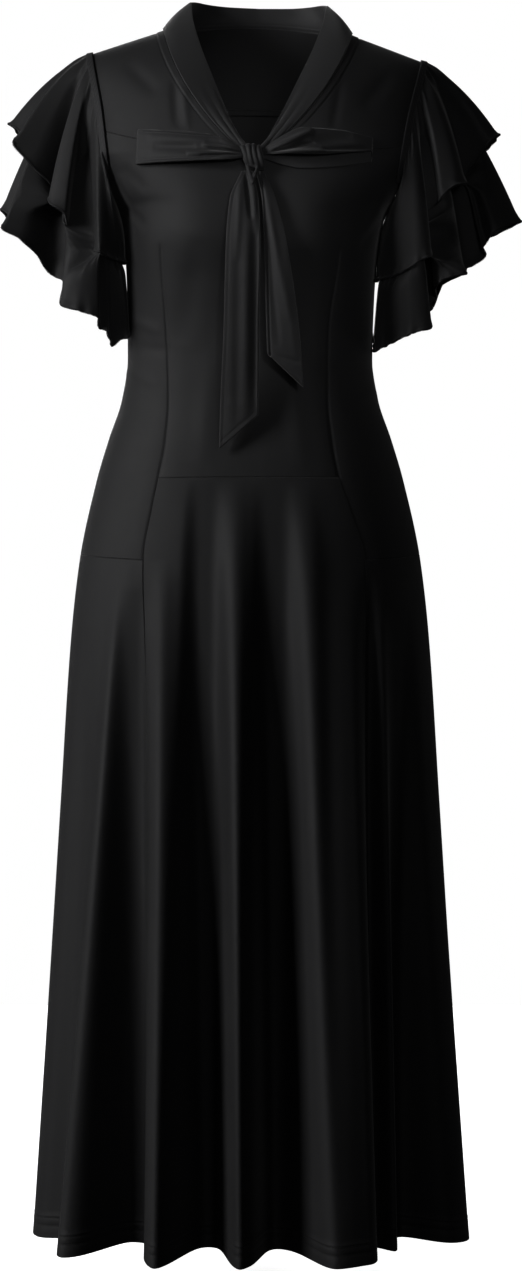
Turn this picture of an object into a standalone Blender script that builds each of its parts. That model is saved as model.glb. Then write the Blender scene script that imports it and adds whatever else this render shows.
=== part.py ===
"""A 1920s-style midi dress in black jersey, filled out as if worn, with nobody in it.

It has a tie collar knotted in a bow over a V neck, front and back yokes, a darted bodice that ends
in a raised waist seam at the front and a hip seam at the sides, a skirt of four panels that hangs
in soft folds, and sleeves of two flounces each. Every cut piece of cloth is a thin closed wall.

Units are metres, +Z is up and the front faces -Y. The origin lies midway between the two points
where the neck seam crosses the shoulder seams, which is where a wearer holds the dress up.
"Left" and "right" are the sides that an onlooker sees from the front.
"""

import math
from collections import namedtuple

import bmesh
import bpy
from mathutils import Vector

# Driving dimensions
CLOTH = 0.0014  # wall of the jersey panels
FLOUNCE = 0.0012  # wall of the sleeve flounces
BAND = 0.0022  # wall of the collar and ties, which are cloth folded double
GAP = 0.0003  # between two pieces at a seam
HEM_HEIGHT = -1.252
WAIST_SEAM = -0.4663
HIP_AT_SIDE, HIP_AT_FRONT, HIP_AT_BACK = -0.5415, -0.550, -0.545
UNDERARM = -0.190
CHEST_LEVEL = -0.136  # below it the sections give the shape, above it the shoulders round over
SQUARENESS = 2.3  # exponent of the superellipse that each section is
LEAN = 0.008  # the neck sits this far to the right of the hem's middle
LEAN_FROM = -0.340  # and the dress leans over to it from this height up
DROOP = 0.7  # share of that lean by which the right shoulder hangs lower

Section = namedtuple("Section", "height half_width front back")
SECTIONS = [
    Section(-0.136, 0.1860, 0.104, 0.097),
    Section(-0.160, 0.1640, 0.110, 0.098),
    Section(-0.180, 0.1470, 0.113, 0.097),
    Section(-0.190, 0.1380, 0.114, 0.096),
    Section(-0.215, 0.1330, 0.115, 0.094),
    Section(-0.270, 0.1285, 0.107, 0.089),
    Section(-0.340, 0.1270, 0.099, 0.085),
    Section(-0.382, 0.1330, 0.101, 0.092),
    Section(-0.423, 0.1466, 0.106, 0.103),
    Section(-0.465, 0.1590, 0.112, 0.115),
    Section(-0.548, 0.1768, 0.121, 0.129),
    Section(-0.631, 0.1860, 0.127, 0.134),
    Section(-0.798, 0.1966, 0.135, 0.141),
    Section(-1.006, 0.2096, 0.146, 0.150),
    Section(-1.252, 0.2257, 0.158, 0.158),
]

# Where the darts, and below the waist the seams beside the centre skirt panel, lie
FrontSeam = namedtuple("FrontSeam", "height left right")
FRONT_SEAMS = [
    FrontSeam(-0.110, -0.078, 0.080),
    FrontSeam(-0.227, -0.093, 0.091),
    FrontSeam(-0.318, -0.086, 0.081),
    FrontSeam(-0.387, -0.083, 0.080),
    FrontSeam(-0.428, -0.086, 0.084),
    FrontSeam(-0.466, -0.093, 0.091),
    FrontSeam(-0.500, -0.100, 0.103),
    FrontSeam(-0.550, -0.108, 0.117),
    FrontSeam(-0.800, -0.106, 0.121),
    FrontSeam(-1.252, -0.105, 0.124),
]
DART_TIP = -0.227
DART_PINCH = 0.0012

Armhole = namedtuple("Armhole", "height out")
ARMHOLES = [
    Armhole(-0.0269, 0.176),
    Armhole(-0.060, 0.168),
    Armhole(-0.092, 0.161),
    Armhole(-0.124, 0.156),
    Armhole(-0.160, 0.150),
    Armhole(-0.180, 0.1435),
    Armhole(-0.190, 0.138),
]

NECK_OUT = 0.098  # from the middle to where the neck seam crosses the shoulder
NECK_HEIGHT = 0.0  # and the height there
SHOULDER_DROP = 0.345  # fall of the shoulder seam for each metre outwards
SHOULDER_BACK = 0.008  # the shoulder seam lies this far behind the origin
SHOULDER_ROUND = math.radians(75)  # how far the yokes turn from the seam to the chest
BACK_NECK_HEIGHT = 0.014
BACK_NECK_DEPTH = 0.062
NECK_BEND = (0.084, -0.074)  # control point of the V neck's curve, out and height
V_END = (0.013, -0.1355)
YOKE_SEAM = {-1: -0.112, 1: -0.124}  # height at the left and right armhole
YOKE_SEAM_MIDDLE = -0.136
BACK_YOKE_MIDDLE, BACK_YOKE_SIDE = -0.069, -0.080
BUST_OUT, BUST_HEIGHT, BUST_RISE, BUST_SPREAD = 0.070, -0.214, 0.012, 0.052

# Folds of the skirt. Angles run from 0 at the left side seam over 90 at centre front to 180 at the
# right side seam, and on over the back. reach is at the hem, outwards, and width is a half width.
Fold = namedtuple("Fold", "top hem width reach start")
FOLDS = [
    Fold(30, 27, 9, -0.018, -0.62),
    Fold(55, 42, 9, 0.032, -0.55),
    Fold(57, 56, 7, -0.040, -0.62),
    Fold(60, 69, 7, 0.038, -0.55),
    Fold(69, 79.5, 6, -0.046, -0.48),
    Fold(81, 88, 6, 0.038, -0.47),
    Fold(88, 95, 6, -0.042, -0.47),
    Fold(104, 103, 8, 0.030, -0.47),
    Fold(124, 117, 7, 0.036, -0.57),
    Fold(130, 124, 4, -0.036, -0.56),
    Fold(134, 128, 4, 0.020, -0.59),
    Fold(145, 139, 10, -0.044, -0.60),
    Fold(166, 162, 8, 0.008, -0.66),
    Fold(196, 198, 9, -0.024, -0.60),
    Fold(214, 212, 8, 0.030, -0.60),
    Fold(228, 228, 7, -0.036, -0.58),
    Fold(242, 243, 8, 0.034, -0.57),
    Fold(255, 257, 7, -0.036, -0.57),
    Fold(269, 271, 8, 0.034, -0.57),
    Fold(283, 285, 7, -0.038, -0.57),
    Fold(298, 299, 8, 0.036, -0.58),
    Fold(314, 313, 7, -0.034, -0.58),
    Fold(330, 328, 8, 0.030, -0.62),
    Fold(346, 344, 9, -0.020, -0.62),
]
HEM_RISE = 0.007  # the hem hangs higher at the sides by this
HEM_LIFT = 0.11  # a hollow of the hem hangs higher by this share of its depth

# Flounces of the sleeves. Angles run from 0 at the shoulder over 90 at the front to 180 at the
# underarm, and on over the back. The hem is the lower flounce's: how far out it is at the shoulder
# and at the underarm, its height at both, where its middle lies, its half depth, how far it dips
# between them, how far its back half tucks in behind the side seam, and how far the flounces puff
# out below the shoulder.
SleeveHem = namedtuple("SleeveHem", "out low_out top bottom middle depth dip tuck puff")
SLEEVE_HEMS = {
    -1: SleeveHem(0.246, 0.1345, -0.190, -0.324, -0.004, 0.077, 0.015, 0.020, 0.022),
    1: SleeveHem(0.260, 0.1340, -0.200, -0.330, -0.004, 0.077, 0.013, 0.016, 0.016),
}
SleeveFold = namedtuple("SleeveFold", "at width reach lean")
LOWER_FOLDS = {
    -1: [
        SleeveFold(8, 9, 0.013, 0.0),
        SleeveFold(32, 10, 0.018, -0.004),
        SleeveFold(66, 12, -0.021, 0.0),
        SleeveFold(104, 15, 0.016, -0.012),
        SleeveFold(140, 11, -0.018, 0.0),
        SleeveFold(161, 7, 0.004, 0.0),
        SleeveFold(206, 12, -0.006, 0.0),
        SleeveFold(230, 11, 0.012, 0.0),
        SleeveFold(252, 11, -0.014, 0.0),
        SleeveFold(276, 12, 0.016, 0.0),
        SleeveFold(302, 12, -0.015, 0.0),
        SleeveFold(328, 11, 0.012, 0.0),
        SleeveFold(348, 8, -0.005, 0.0),
    ],
    1: [
        SleeveFold(20, 15, 0.020, -0.003),
        SleeveFold(57, 11, -0.019, 0.0),
        SleeveFold(82, 10, 0.015, -0.010),
        SleeveFold(105, 9, -0.015, 0.0),
        SleeveFold(126, 12, 0.016, -0.012),
        SleeveFold(154, 10, -0.010, 0.0),
        SleeveFold(206, 12, -0.006, 0.0),
        SleeveFold(230, 11, 0.012, 0.0),
        SleeveFold(256, 11, -0.014, 0.0),
        SleeveFold(280, 12, 0.016, 0.0),
        SleeveFold(306, 12, -0.015, 0.0),
        SleeveFold(334, 11, 0.010, 0.0),
    ],
}
UPPER_FOLDS = {
    -1: [
        SleeveFold(4, 8, 0.005, 0.0),
        SleeveFold(14, 6, -0.007, 0.0),
        SleeveFold(27, 9, 0.013, -0.003),
        SleeveFold(50, 9, -0.011, 0.0),
        SleeveFold(70, 10, 0.012, -0.009),
        SleeveFold(93, 9, -0.008, 0.0),
        SleeveFold(122, 16, 0.008, -0.004),
        SleeveFold(212, 14, 0.006, 0.0),
        SleeveFold(240, 11, -0.005, 0.0),
        SleeveFold(266, 12, 0.010, 0.0),
        SleeveFold(292, 11, -0.010, 0.0),
        SleeveFold(318, 12, 0.009, 0.0),
        SleeveFold(342, 9, -0.005, 0.0),
    ],
    1: [
        SleeveFold(10, 12, 0.006, 0.0),
        SleeveFold(40, 10, -0.012, 0.0),
        SleeveFold(66, 13, 0.011, -0.006),
        SleeveFold(96, 10, -0.009, 0.0),
        SleeveFold(122, 13, 0.009, -0.007),
        SleeveFold(212, 14, 0.006, 0.0),
        SleeveFold(240, 11, -0.005, 0.0),
        SleeveFold(266, 12, 0.010, 0.0),
        SleeveFold(292, 11, -0.010, 0.0),
        SleeveFold(318, 12, 0.009, 0.0),
        SleeveFold(344, 9, -0.005, 0.0),
    ],
}
UPPER_FLOUNCE = 0.56  # length of the upper flounce as a share of the lower one
UPPER_FLOUNCE_DIP = 0.09  # and how much longer it is halfway down the armhole
UPPER_FLARE = 0.023  # how far the upper flounce's hem stands off the lower flounce

# The free upper edge of the collar, from centre back round the neck and down the V
CollarEdge = namedtuple("CollarEdge", "share out depth height")
COLLAR_EDGE = [
    CollarEdge(0.00, 0.000, 0.066, 0.036),
    CollarEdge(0.12, 0.034, 0.060, 0.036),
    CollarEdge(0.24, 0.060, 0.041, 0.0355),
    CollarEdge(0.36, 0.070, 0.014, 0.031),
    CollarEdge(0.48, 0.068, -0.010, 0.012),
    CollarEdge(0.60, 0.059, -0.036, -0.020),
    CollarEdge(0.74, 0.044, -0.062, -0.058),
    CollarEdge(0.88, 0.027, -0.086, -0.097),
    CollarEdge(1.00, 0.013, -0.101, -0.125),
]
NECK_SHARE = 0.36  # where along the collar's half the neck seam crosses the shoulder seam

KNOT = Vector((0.0035, -0.1158, -0.1435))
KNOT_SIZE = Vector((0.0125, 0.0085, 0.0140))
KNOT_WRAPS = 3

# Bow loops: how far out, and the height of the lower and upper edge there
LoopEdge = namedtuple("LoopEdge", "out low high")
LOOPS = {
    -1: [
        LoopEdge(0.0128, -0.1440, -0.1350),
        LoopEdge(0.035, -0.1475, -0.1235),
        LoopEdge(0.065, -0.1490, -0.1180),
        LoopEdge(0.116, -0.1500, -0.1150),
    ],
    1: [
        LoopEdge(0.0126, -0.1440, -0.1340),
        LoopEdge(0.032, -0.1510, -0.1190),
        LoopEdge(0.050, -0.1535, -0.1120),
        LoopEdge(0.119, -0.1430, -0.1170),
    ],
}
LOOP_REST = 0.0006  # from the cloth behind to the loop's back layer
LOOP_FULL = 0.0115  # from the cloth behind to the loop's front layer

# Tie tails: height, the left and right edge, and how far forward they hang
TailEdge = namedtuple("TailEdge", "height left right depth")
TAILS = {
    "tie_tail_left": [
        TailEdge(-0.1577, -0.0085, 0.0020, -0.1165),
        TailEdge(-0.185, -0.0200, 0.0085, -0.1275),
        TailEdge(-0.230, -0.0240, 0.0105, -0.1345),
        TailEdge(-0.320, -0.0265, 0.0085, -0.1275),
        TailEdge(-0.400, -0.0300, 0.0085, -0.1180),
        TailEdge(-0.438, -0.0310, 0.0085, -0.1165),
    ],
    "tie_tail_right": [
        TailEdge(-0.1577, 0.0060, 0.0140, -0.1160),
        TailEdge(-0.185, 0.0115, 0.0260, -0.1250),
        TailEdge(-0.230, 0.0140, 0.0370, -0.1300),
        TailEdge(-0.320, 0.0165, 0.0500, -0.1245),
        TailEdge(-0.376, 0.0190, 0.0540, -0.1190),
    ],
}
TAIL_SLANT = {"tie_tail_left": (0.0, 0.034), "tie_tail_right": (0.034, 0.0)}  # rise of each corner


def clear_scene():
    for thing in list(bpy.data.objects):
        bpy.data.objects.remove(thing, do_unlink=True)


def material(name, colour, roughness):
    made = bpy.data.materials.new(name)
    made.use_nodes = True
    shader = made.node_tree.nodes["Principled BSDF"]
    shader.inputs["Base Color"].default_value = (*colour, 1.0)
    shader.inputs["Roughness"].default_value = roughness
    shader.inputs["Metallic"].default_value = 0.0
    return made


def mix(a, b, share):
    return a + (b - a) * share


def ease(share):
    share = min(1.0, max(0.0, share))
    return share * share * (3 - 2 * share)


def bell(distance):
    return math.exp(-distance * distance)


def along(table, column, place):
    """A table's column at a place in its first column, as a smooth curve with no overshoot."""
    rows = sorted((row[0], getattr(row, column)) for row in table)
    place = min(max(place, rows[0][0]), rows[-1][0])
    i = max(k for k in range(len(rows) - 1) if rows[k][0] <= place)

    def steepness(k):
        return (rows[k + 1][1] - rows[k][1]) / (rows[k + 1][0] - rows[k][0])

    def slope(k):
        if k in (0, len(rows) - 1):
            return steepness(min(k, len(rows) - 2))
        before, after = steepness(k - 1), steepness(k)
        return 0.0 if before * after <= 0 else 2 * before * after / (before + after)

    (start, low), (end, high) = rows[i], rows[i + 1]
    span = end - start
    t = (place - start) / span
    return (
        low * (1 + 2 * t) * (1 - t) ** 2
        + high * t * t * (3 - 2 * t)
        + span * (slope(i) * t * (1 - t) ** 2 - slope(i + 1) * t * t * (1 - t))
    )


def leaning(x, y, height):
    """The point of the dress that x, y and height give before the dress leans over."""
    share = max(0.0, 1 - height / LEAN_FROM)
    turn = DROOP * 1.5 * LEAN * math.sqrt(share) / -LEAN_FROM
    return Vector((x + LEAN * share**1.5, y, height - turn * x))


def shoulder_height(out):
    return NECK_HEIGHT - SHOULDER_DROP * (abs(out) - NECK_OUT)


def back_top(out):
    """Depth and height of the back yoke's top edge: the back neck seam, then the shoulder seam."""
    share = min(1.0, abs(out) / NECK_OUT)
    round_off = (1 - share**2) ** 0.6
    depth = mix(SHOULDER_BACK, BACK_NECK_DEPTH, round_off)
    if abs(out) >= NECK_OUT:
        return depth, shoulder_height(out)
    return depth, mix(BACK_NECK_HEIGHT, shoulder_height(NECK_OUT), share**2)


def section_depth(front, out, height):
    half = along(SECTIONS, "half_width", height)
    depth = along(SECTIONS, "front" if front else "back", height)
    round_off = max(0.0, 1 - min(1.0, abs(out) / half) ** SQUARENESS) ** (1 / SQUARENESS)
    if not front:
        return depth * round_off
    bust = BUST_RISE * bell((abs(out) - BUST_OUT) / BUST_SPREAD) * bell((height - BUST_HEIGHT) / 0.06)
    return -(depth + bust) * round_off


def body_depth(front, out, height):
    """The y of the cloth's outer face, before folds, at a distance out from the dress's middle."""
    if height <= CHEST_LEVEL:
        return section_depth(front, out, height)
    if front:
        top_depth, top_height, turn = SHOULDER_BACK, shoulder_height(out), 0.0
    else:
        top_depth, top_height = back_top(out)
        turn = math.radians(38) * ease(1.4 * (1 - abs(out) / NECK_OUT))
    drop = min(1.0, max(0.0, (top_height - height) / (top_height - CHEST_LEVEL)))
    cosine = math.cos(turn) - drop * (math.cos(turn) - math.cos(SHOULDER_ROUND))
    turned = math.sqrt(max(0.0, 1 - cosine * cosine)) - math.sin(turn)
    share = turned / (math.sin(SHOULDER_ROUND) - math.sin(turn))
    return mix(top_depth, section_depth(front, out, CHEST_LEVEL), share)


def fold_reach(angle, height):
    """How far the skirt's folds stand out at an angle in degrees."""
    total = 0.0
    for fold in FOLDS:
        if height >= fold.start:
            continue
        down = (fold.start - height) / (fold.start - HEM_HEIGHT)
        centre = mix(fold.top, fold.hem, down**0.6)
        apart = (angle - centre + 180) % 360 - 180
        width = fold.width * mix(0.8, 1.0, down)
        total += fold.reach * down**0.85 * bell(apart / width)
    return total


def dress(angle, height):
    """A point of the dress's outer face. Angles are those of the folds, in degrees."""
    turn = math.radians(angle)
    front = angle % 360 <= 180
    half = along(SECTIONS, "half_width", height)
    edge = half if height <= UNDERARM else along(ARMHOLES, "out", height)
    out = -math.copysign(abs(math.cos(turn)) ** (2 / SQUARENESS), math.cos(turn)) * edge
    point = Vector((out, body_depth(front, out, height), height))
    reach = fold_reach(angle % 360, height)
    if reach:
        depth = along(SECTIONS, "front" if front else "back", height)
        away = Vector((point.x / half**2, point.y / depth**2, 0)).normalized()
        point += away * reach
    return leaning(*point)


def angle_of(out, height):
    """The front angle at a distance out from the dress's middle."""
    half = along(SECTIONS, "half_width", height)
    edge = half if height <= UNDERARM else along(ARMHOLES, "out", height)
    share = min(1.0, abs(out) / edge) ** (SQUARENESS / 2)
    return math.degrees(math.acos(-math.copysign(share, out)))


def seam_angle(side, height):
    column = "left" if side < 0 else "right"
    return angle_of(along(FRONT_SEAMS, column, height), height)


def hip_height(angle):
    """Height of the hip seam, which dips to the front seams and to centre back."""
    if angle > 180:
        return mix(HIP_AT_SIDE, HIP_AT_BACK, math.sin(math.radians(angle - 180)))
    side = -1 if angle < 90 else 1
    edge = seam_angle(side, HIP_AT_FRONT)
    share = angle / edge if side < 0 else (180 - angle) / (180 - edge)
    return mix(HIP_AT_SIDE, HIP_AT_FRONT, min(1.0, max(0.0, share)))


def hem_height(angle):
    rise = HEM_RISE * abs(math.cos(math.radians(angle)))
    return HEM_HEIGHT + rise - HEM_LIFT * fold_reach(angle % 360, HEM_HEIGHT)


def yoke_seam_height(side, out):
    """Height of the front yoke seam, which rises from the middle to the armhole."""
    share = out / along(ARMHOLES, "out", YOKE_SEAM[side])
    return mix(YOKE_SEAM_MIDDLE, YOKE_SEAM[side], min(1.0, share) ** 2.2)


def back_yoke_height(out):
    share = out / along(ARMHOLES, "out", BACK_YOKE_SIDE)
    return mix(BACK_YOKE_MIDDLE, BACK_YOKE_SIDE, min(1.0, share) ** 2)


def bodice_top(angle):
    """Height of the yoke seam at an angle, front or back."""
    turn = math.radians(angle)
    side = -1 if math.cos(turn) > 0 else 1
    height = BACK_YOKE_SIDE
    for _ in range(6):
        out = abs(math.cos(turn)) ** (2 / SQUARENESS) * along(ARMHOLES, "out", height)
        height = back_yoke_height(out) if angle > 180 else yoke_seam_height(side, out)
    return height - GAP


def facing(surface, u, v):
    """The outward normal of a surface, from its points a little way off and inside its edges."""
    step = 0.002
    u0, u1 = max(0.0, u - step), min(1.0, u + step)
    v0, v1 = max(0.0, v - step), min(1.0, v + step)
    across = surface(u1, v) - surface(u0, v)
    down = surface(u, v1) - surface(u, v0)
    return down.cross(across).normalized()


def cloth(name, surface, columns, rows, thickness, finish, closed=False, edge=None, keep=None):
    """A closed wall under the surface's outer face, from u across and v down, each from 0 to 1.

    edge gives the direction in which the wall goes in along its first row, where that row has to
    lie flat against another piece. keep says which cells of the grid the piece has.
    """
    mesh = bmesh.new()
    count = len(columns) - 1 if closed else len(columns)
    outer, inner = {}, {}
    cells = [
        (i, j)
        for j in range(len(rows) - 1)
        for i in range(len(columns) - 1)
        if keep is None or keep(i, j)
    ]
    used = {(a % count, b) for i, j in cells for a in (i, i + 1) for b in (j, j + 1)}
    for i, j in sorted(used):
        u, v = columns[i], rows[j]
        point = surface(u, v)
        away = edge(u) if edge and j == 0 else facing(surface, u, v)
        outer[i, j] = mesh.verts.new(point)
        inner[i, j] = mesh.verts.new(point - away * thickness)
    rim = {}
    for i, j in cells:
        right = (i + 1) % count
        corners = [(i, j), (i, j + 1), (right, j + 1), (right, j)]
        mesh.faces.new([outer[c] for c in corners])
        mesh.faces.new([inner[c] for c in reversed(corners)])
        for k in range(4):
            a, b = corners[k], corners[(k + 1) % 4]
            if (b, a) in rim:
                del rim[b, a]
            else:
                rim[a, b] = True
    for a, b in rim:
        mesh.faces.new([outer[b], outer[a], inner[a], inner[b]])
    return finished(name, mesh, finish)


def finished(name, mesh, finish):
    """The mesh as an object in the scene, shaded smooth but for its corners."""
    bmesh.ops.triangulate(mesh, faces=mesh.faces[:])
    data = bpy.data.meshes.new(name)
    mesh.to_mesh(data)
    mesh.free()
    data.shade_smooth()
    data.set_sharp_from_angle(angle=math.radians(50))
    data.materials.append(finish)
    made = bpy.data.objects.new(name, data)
    bpy.context.scene.collection.objects.link(made)
    return made


def steps(count, power=1.0):
    return [(k / count) ** power for k in range(count + 1)]


def straight_up(_share):
    return Vector((0, 0, 1))


def make_front_yoke(side, finish):
    """The front shoulder piece, from the shoulder seam to the yoke seam and from the V to the armhole."""

    def surface(u, v):
        turn = v * SHOULDER_ROUND
        fall = (1 - math.cos(turn)) / (1 - math.cos(SHOULDER_ROUND))
        neck_out = quadratic(NECK_OUT, NECK_BEND[0], V_END[0], fall)
        neck_height = quadratic(shoulder_height(NECK_OUT), NECK_BEND[1], V_END[1], fall)
        arm_height = mix(ARMHOLES[0].height, YOKE_SEAM[side], fall)
        arm_out = along(ARMHOLES, "out", arm_height)
        out = mix(neck_out, arm_out, u)
        straight = mix(neck_height, arm_height, u)
        seam = yoke_seam_height(side, out)
        height = straight + (seam - mix(V_END[1], YOKE_SEAM[side], u)) * fall
        depth = body_depth(True, out, height)
        return leaning(side * out, depth, height)

    def laid(u, v):
        return surface(1 - u if side < 0 else u, v)

    name = "front_yoke_left" if side < 0 else "front_yoke_right"
    return cloth(name, laid, steps(11), steps(7), CLOTH, finish, edge=straight_up)


def quadratic(start, bend, end, share):
    """A quadratic Bezier curve's value."""
    return mix(mix(start, bend, share), mix(bend, end, share), share)


def make_back_yoke(finish):
    """The back shoulder piece, from the neck and shoulder seams to the back yoke seam."""
    neck_share = NECK_OUT / ARMHOLES[0].out

    def surface(u, v):
        fall = (1 - math.cos(v * SHOULDER_ROUND)) / (1 - math.cos(SHOULDER_ROUND))
        edge_height = mix(ARMHOLES[0].height, BACK_YOKE_SIDE, fall)
        out = (2 * u - 1) * along(ARMHOLES, "out", edge_height)
        _, top = back_top(out)
        height = mix(top, back_yoke_height(abs(out)), fall)
        return leaning(out, max(body_depth(False, out, height), SHOULDER_BACK + 2 * GAP), height)

    def laid(u, v):
        return surface(1 - u, v)

    half = [neck_share * k / 8 for k in range(8)] + [mix(neck_share, 1.0, k / 4) for k in range(5)]
    columns = [(1 - share) / 2 for share in reversed(half)] + [(1 + share) / 2 for share in half[1:]]
    return cloth("back_yoke", laid, columns, steps(6), CLOTH, finish, edge=straight_up)


def make_bodice_front(finish):
    """The front of the bodice, one cloth with two darts, longer at the sides than in the middle."""
    zone_columns = (8, 12, 8)
    body_rows, lobe_rows = 13, 3
    body_share = 0.8

    def angle_at(zone_share, height):
        marks = (0.0, seam_angle(-1, height), seam_angle(1, height), 180.0)
        zone = min(2, int(zone_share))
        return mix(marks[zone], marks[zone + 1], zone_share - zone)

    def surface(u, v):
        zone_share = 3 * u
        if v <= body_share:
            down = v / body_share
            height = mix(YOKE_SEAM_MIDDLE, WAIST_SEAM, down)
            for _ in range(4):
                height = mix(bodice_top(angle_at(zone_share, height)), WAIST_SEAM, down)
        else:
            down = (v - body_share) / (1 - body_share)
            guess = mix(WAIST_SEAM, HIP_AT_FRONT, down)
            height = mix(WAIST_SEAM, hip_height(angle_at(zone_share, guess)), down)
        point = dress(angle_at(zone_share, height), height)
        if height < DART_TIP and abs(zone_share - round(zone_share)) < 0.02 and 0.5 < zone_share < 2.5:
            point.y += DART_PINCH * ease((DART_TIP - height) / 0.03)
        return point

    columns = [
        (zone + k / count) / 3 for zone, count in enumerate(zone_columns) for k in range(count)
    ] + [1.0]
    rows = [body_share * k / body_rows for k in range(body_rows)]
    rows += [mix(body_share, 1.0, k / lobe_rows) for k in range(lobe_rows + 1)]

    def keep(i, j):
        in_middle = zone_columns[0] <= i < zone_columns[0] + zone_columns[1]
        return j < body_rows or not in_middle

    return cloth("bodice_front", surface, columns, rows, CLOTH, finish, keep=keep)


def make_bodice_back(finish):
    """The back of the bodice, from the back yoke seam to the hip seam."""
    side_gap = math.degrees(GAP / SECTIONS[0].half_width)

    def surface(u, v):
        angle = mix(180 + side_gap, 360 - side_gap, u)
        top, bottom = bodice_top(angle), hip_height(angle)
        if v < 0.3:
            height = mix(top, UNDERARM, v / 0.3)
        else:
            height = mix(UNDERARM, bottom, (v - 0.3) / 0.7)
        return dress(angle, height)

    rows = [0.3 * k / 5 for k in range(5)] + [mix(0.3, 1.0, k / 10) for k in range(11)]
    return cloth("bodice_back", surface, steps(18), rows, CLOTH, finish)


def skirt_rows():
    """Shares of the way from the hip seam to the hem, closer together where the folds begin."""
    return steps(9, 0.9)


def make_skirt_centre(finish):
    """The centre front panel of the skirt, which starts at the raised waist seam."""
    upper_rows = 3
    upper_share = 0.14

    def surface(u, v):
        if v <= upper_share:
            height = mix(WAIST_SEAM - GAP, HIP_AT_FRONT, v / upper_share)
            low_share = 0.0
        else:
            low_share = (v - upper_share) / (1 - upper_share)
            height = mix(HIP_AT_FRONT, HEM_HEIGHT, low_share)
        gap = math.degrees(GAP / along(SECTIONS, "front", height))
        angle = mix(seam_angle(-1, height) + gap, seam_angle(1, height) - gap, u)
        if low_share:
            height = mix(HIP_AT_FRONT, hem_height(angle), low_share)
        return dress(angle, height)

    rows = [upper_share * k / upper_rows for k in range(upper_rows)]
    rows += [mix(upper_share, 1.0, share) for share in skirt_rows()]
    return cloth("skirt_front_centre", surface, steps(32), rows, CLOTH, finish)


def make_skirt_side(side, finish):
    """A side front panel of the skirt, from the hip seam to the hem."""

    def surface(u, v):
        height = mix(HIP_AT_FRONT, HEM_HEIGHT, v)
        edge = seam_angle(side, height)
        angle = mix(0, edge, u) if side < 0 else mix(edge, 180, u)
        return dress(angle, mix(hip_height(angle) - GAP, hem_height(angle), v))

    name = "skirt_front_left" if side < 0 else "skirt_front_right"
    return cloth(name, surface, steps(16), skirt_rows(), CLOTH, finish)


def make_skirt_back(finish):
    """The back panel of the skirt, from side seam to side seam."""

    def surface(u, v):
        side_gap = math.degrees(GAP / SECTIONS[0].half_width)
        angle = mix(180 + side_gap, 360 - side_gap, u)
        return dress(angle, mix(hip_height(angle) - GAP, hem_height(angle), v))

    return cloth("skirt_back", surface, steps(48), skirt_rows(), CLOTH, finish)


def armhole(side, angle):
    """A point of the armhole seam and the cloth's outward normal there."""
    turn = math.radians(angle)
    top, bottom = ARMHOLES[0].height, UNDERARM
    height = mix(bottom, top, (1 + math.cos(turn)) / 2)
    front = math.sin(turn) > 0
    out = along(ARMHOLES, "out", height)
    step = 0.0005
    inside = out - step
    low = height if height > bottom + step else bottom + step
    depth = body_depth(front, out, height)
    lean_out = (body_depth(front, inside, low) - body_depth(front, inside - step, low)) / step
    lean_up = (body_depth(front, inside, low) - body_depth(front, inside, low - step)) / step
    sign = -1 if front else 1
    normal = Vector((-sign * lean_out * side, sign, -sign * lean_up)).normalized()
    return leaning(side * out, depth, height), normal


def sleeve_start(side, angle):
    """Where a lower flounce's outer face starts at the armhole, and which way that face looks.

    It looks out like the dress at the shoulder and towards the dress at the underarm, where the
    flounce hangs over the side of the bodice.
    """
    seam, normal = armhole(side, angle)
    under = ease((abs((angle + 180) % 360 - 180) - 95) / 55)
    front = Vector((0, -math.copysign(1.0, math.sin(math.radians(angle))), 0))
    looks = (normal * (1 - 2 * under) + front * 2 * math.sqrt(under * (1 - under))).normalized()
    out_from_seam = normal * (under * (2 * GAP + FLOUNCE) + 0.006 * under * (1 - under))
    return seam + out_from_seam, looks, 1 - under


def sleeve(side, angle, down, upper):
    """A point of a flounce's outer face, from the armhole at down 0 to the lower flounce's hem at 1."""
    turn = math.radians(angle)
    hem = SLEEVE_HEMS[side]
    seam, looks, beside = sleeve_start(side, angle)
    top_share = (1 + math.cos(turn)) / 2
    behind = math.sqrt(max(0.0, -math.sin(turn))) * (1 - top_share) ** 2
    end = Vector((
        side * (mix(hem.low_out, hem.out, top_share) - hem.tuck * behind),
        hem.middle - hem.depth * math.sin(turn),
        mix(hem.bottom, hem.top, top_share) - hem.dip * abs(math.sin(turn)),
    ))
    bend = mix(seam, end, 0.42)
    puff = hem.puff * top_share
    bulge = mix(0.004, puff, top_share) - 0.3 * hem.tuck * behind
    bend += Vector((side * bulge, -0.012 * math.sin(turn), 0.85 * puff))
    start = seam + (bend - seam).normalized() * 3.7 * GAP * beside
    point = quadratic(start, bend, end, down)
    sideways = math.cos(turn) * (0.85 if math.cos(turn) > 0 else 0.3)
    away = Vector((side * sideways, -math.sin(turn), 0.35 * max(0.0, math.cos(turn)))).normalized()
    on = Vector((-side * math.sin(turn), -math.cos(turn), 0))
    growth = ease(down / UPPER_FLOUNCE) if upper else ease((down - 0.3) / 0.7)
    if upper:
        flare = UPPER_FLARE * mix(0.08, 1.0, math.sqrt(top_share))
        share = down / (UPPER_FLOUNCE + UPPER_FLOUNCE_DIP)
        lift = FLOUNCE + GAP * (1.5 + 3 * ease(4 * share)) + flare * share**1.1
        point += mix(looks, away, ease(3 * share)).normalized() * lift
    for fold in (UPPER_FOLDS if upper else LOWER_FOLDS)[side]:
        size = bell(((angle - fold.at + 180) % 360 - 180) / fold.width) * growth
        point += (away * fold.reach + on * fold.lean) * size
    return point


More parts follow.
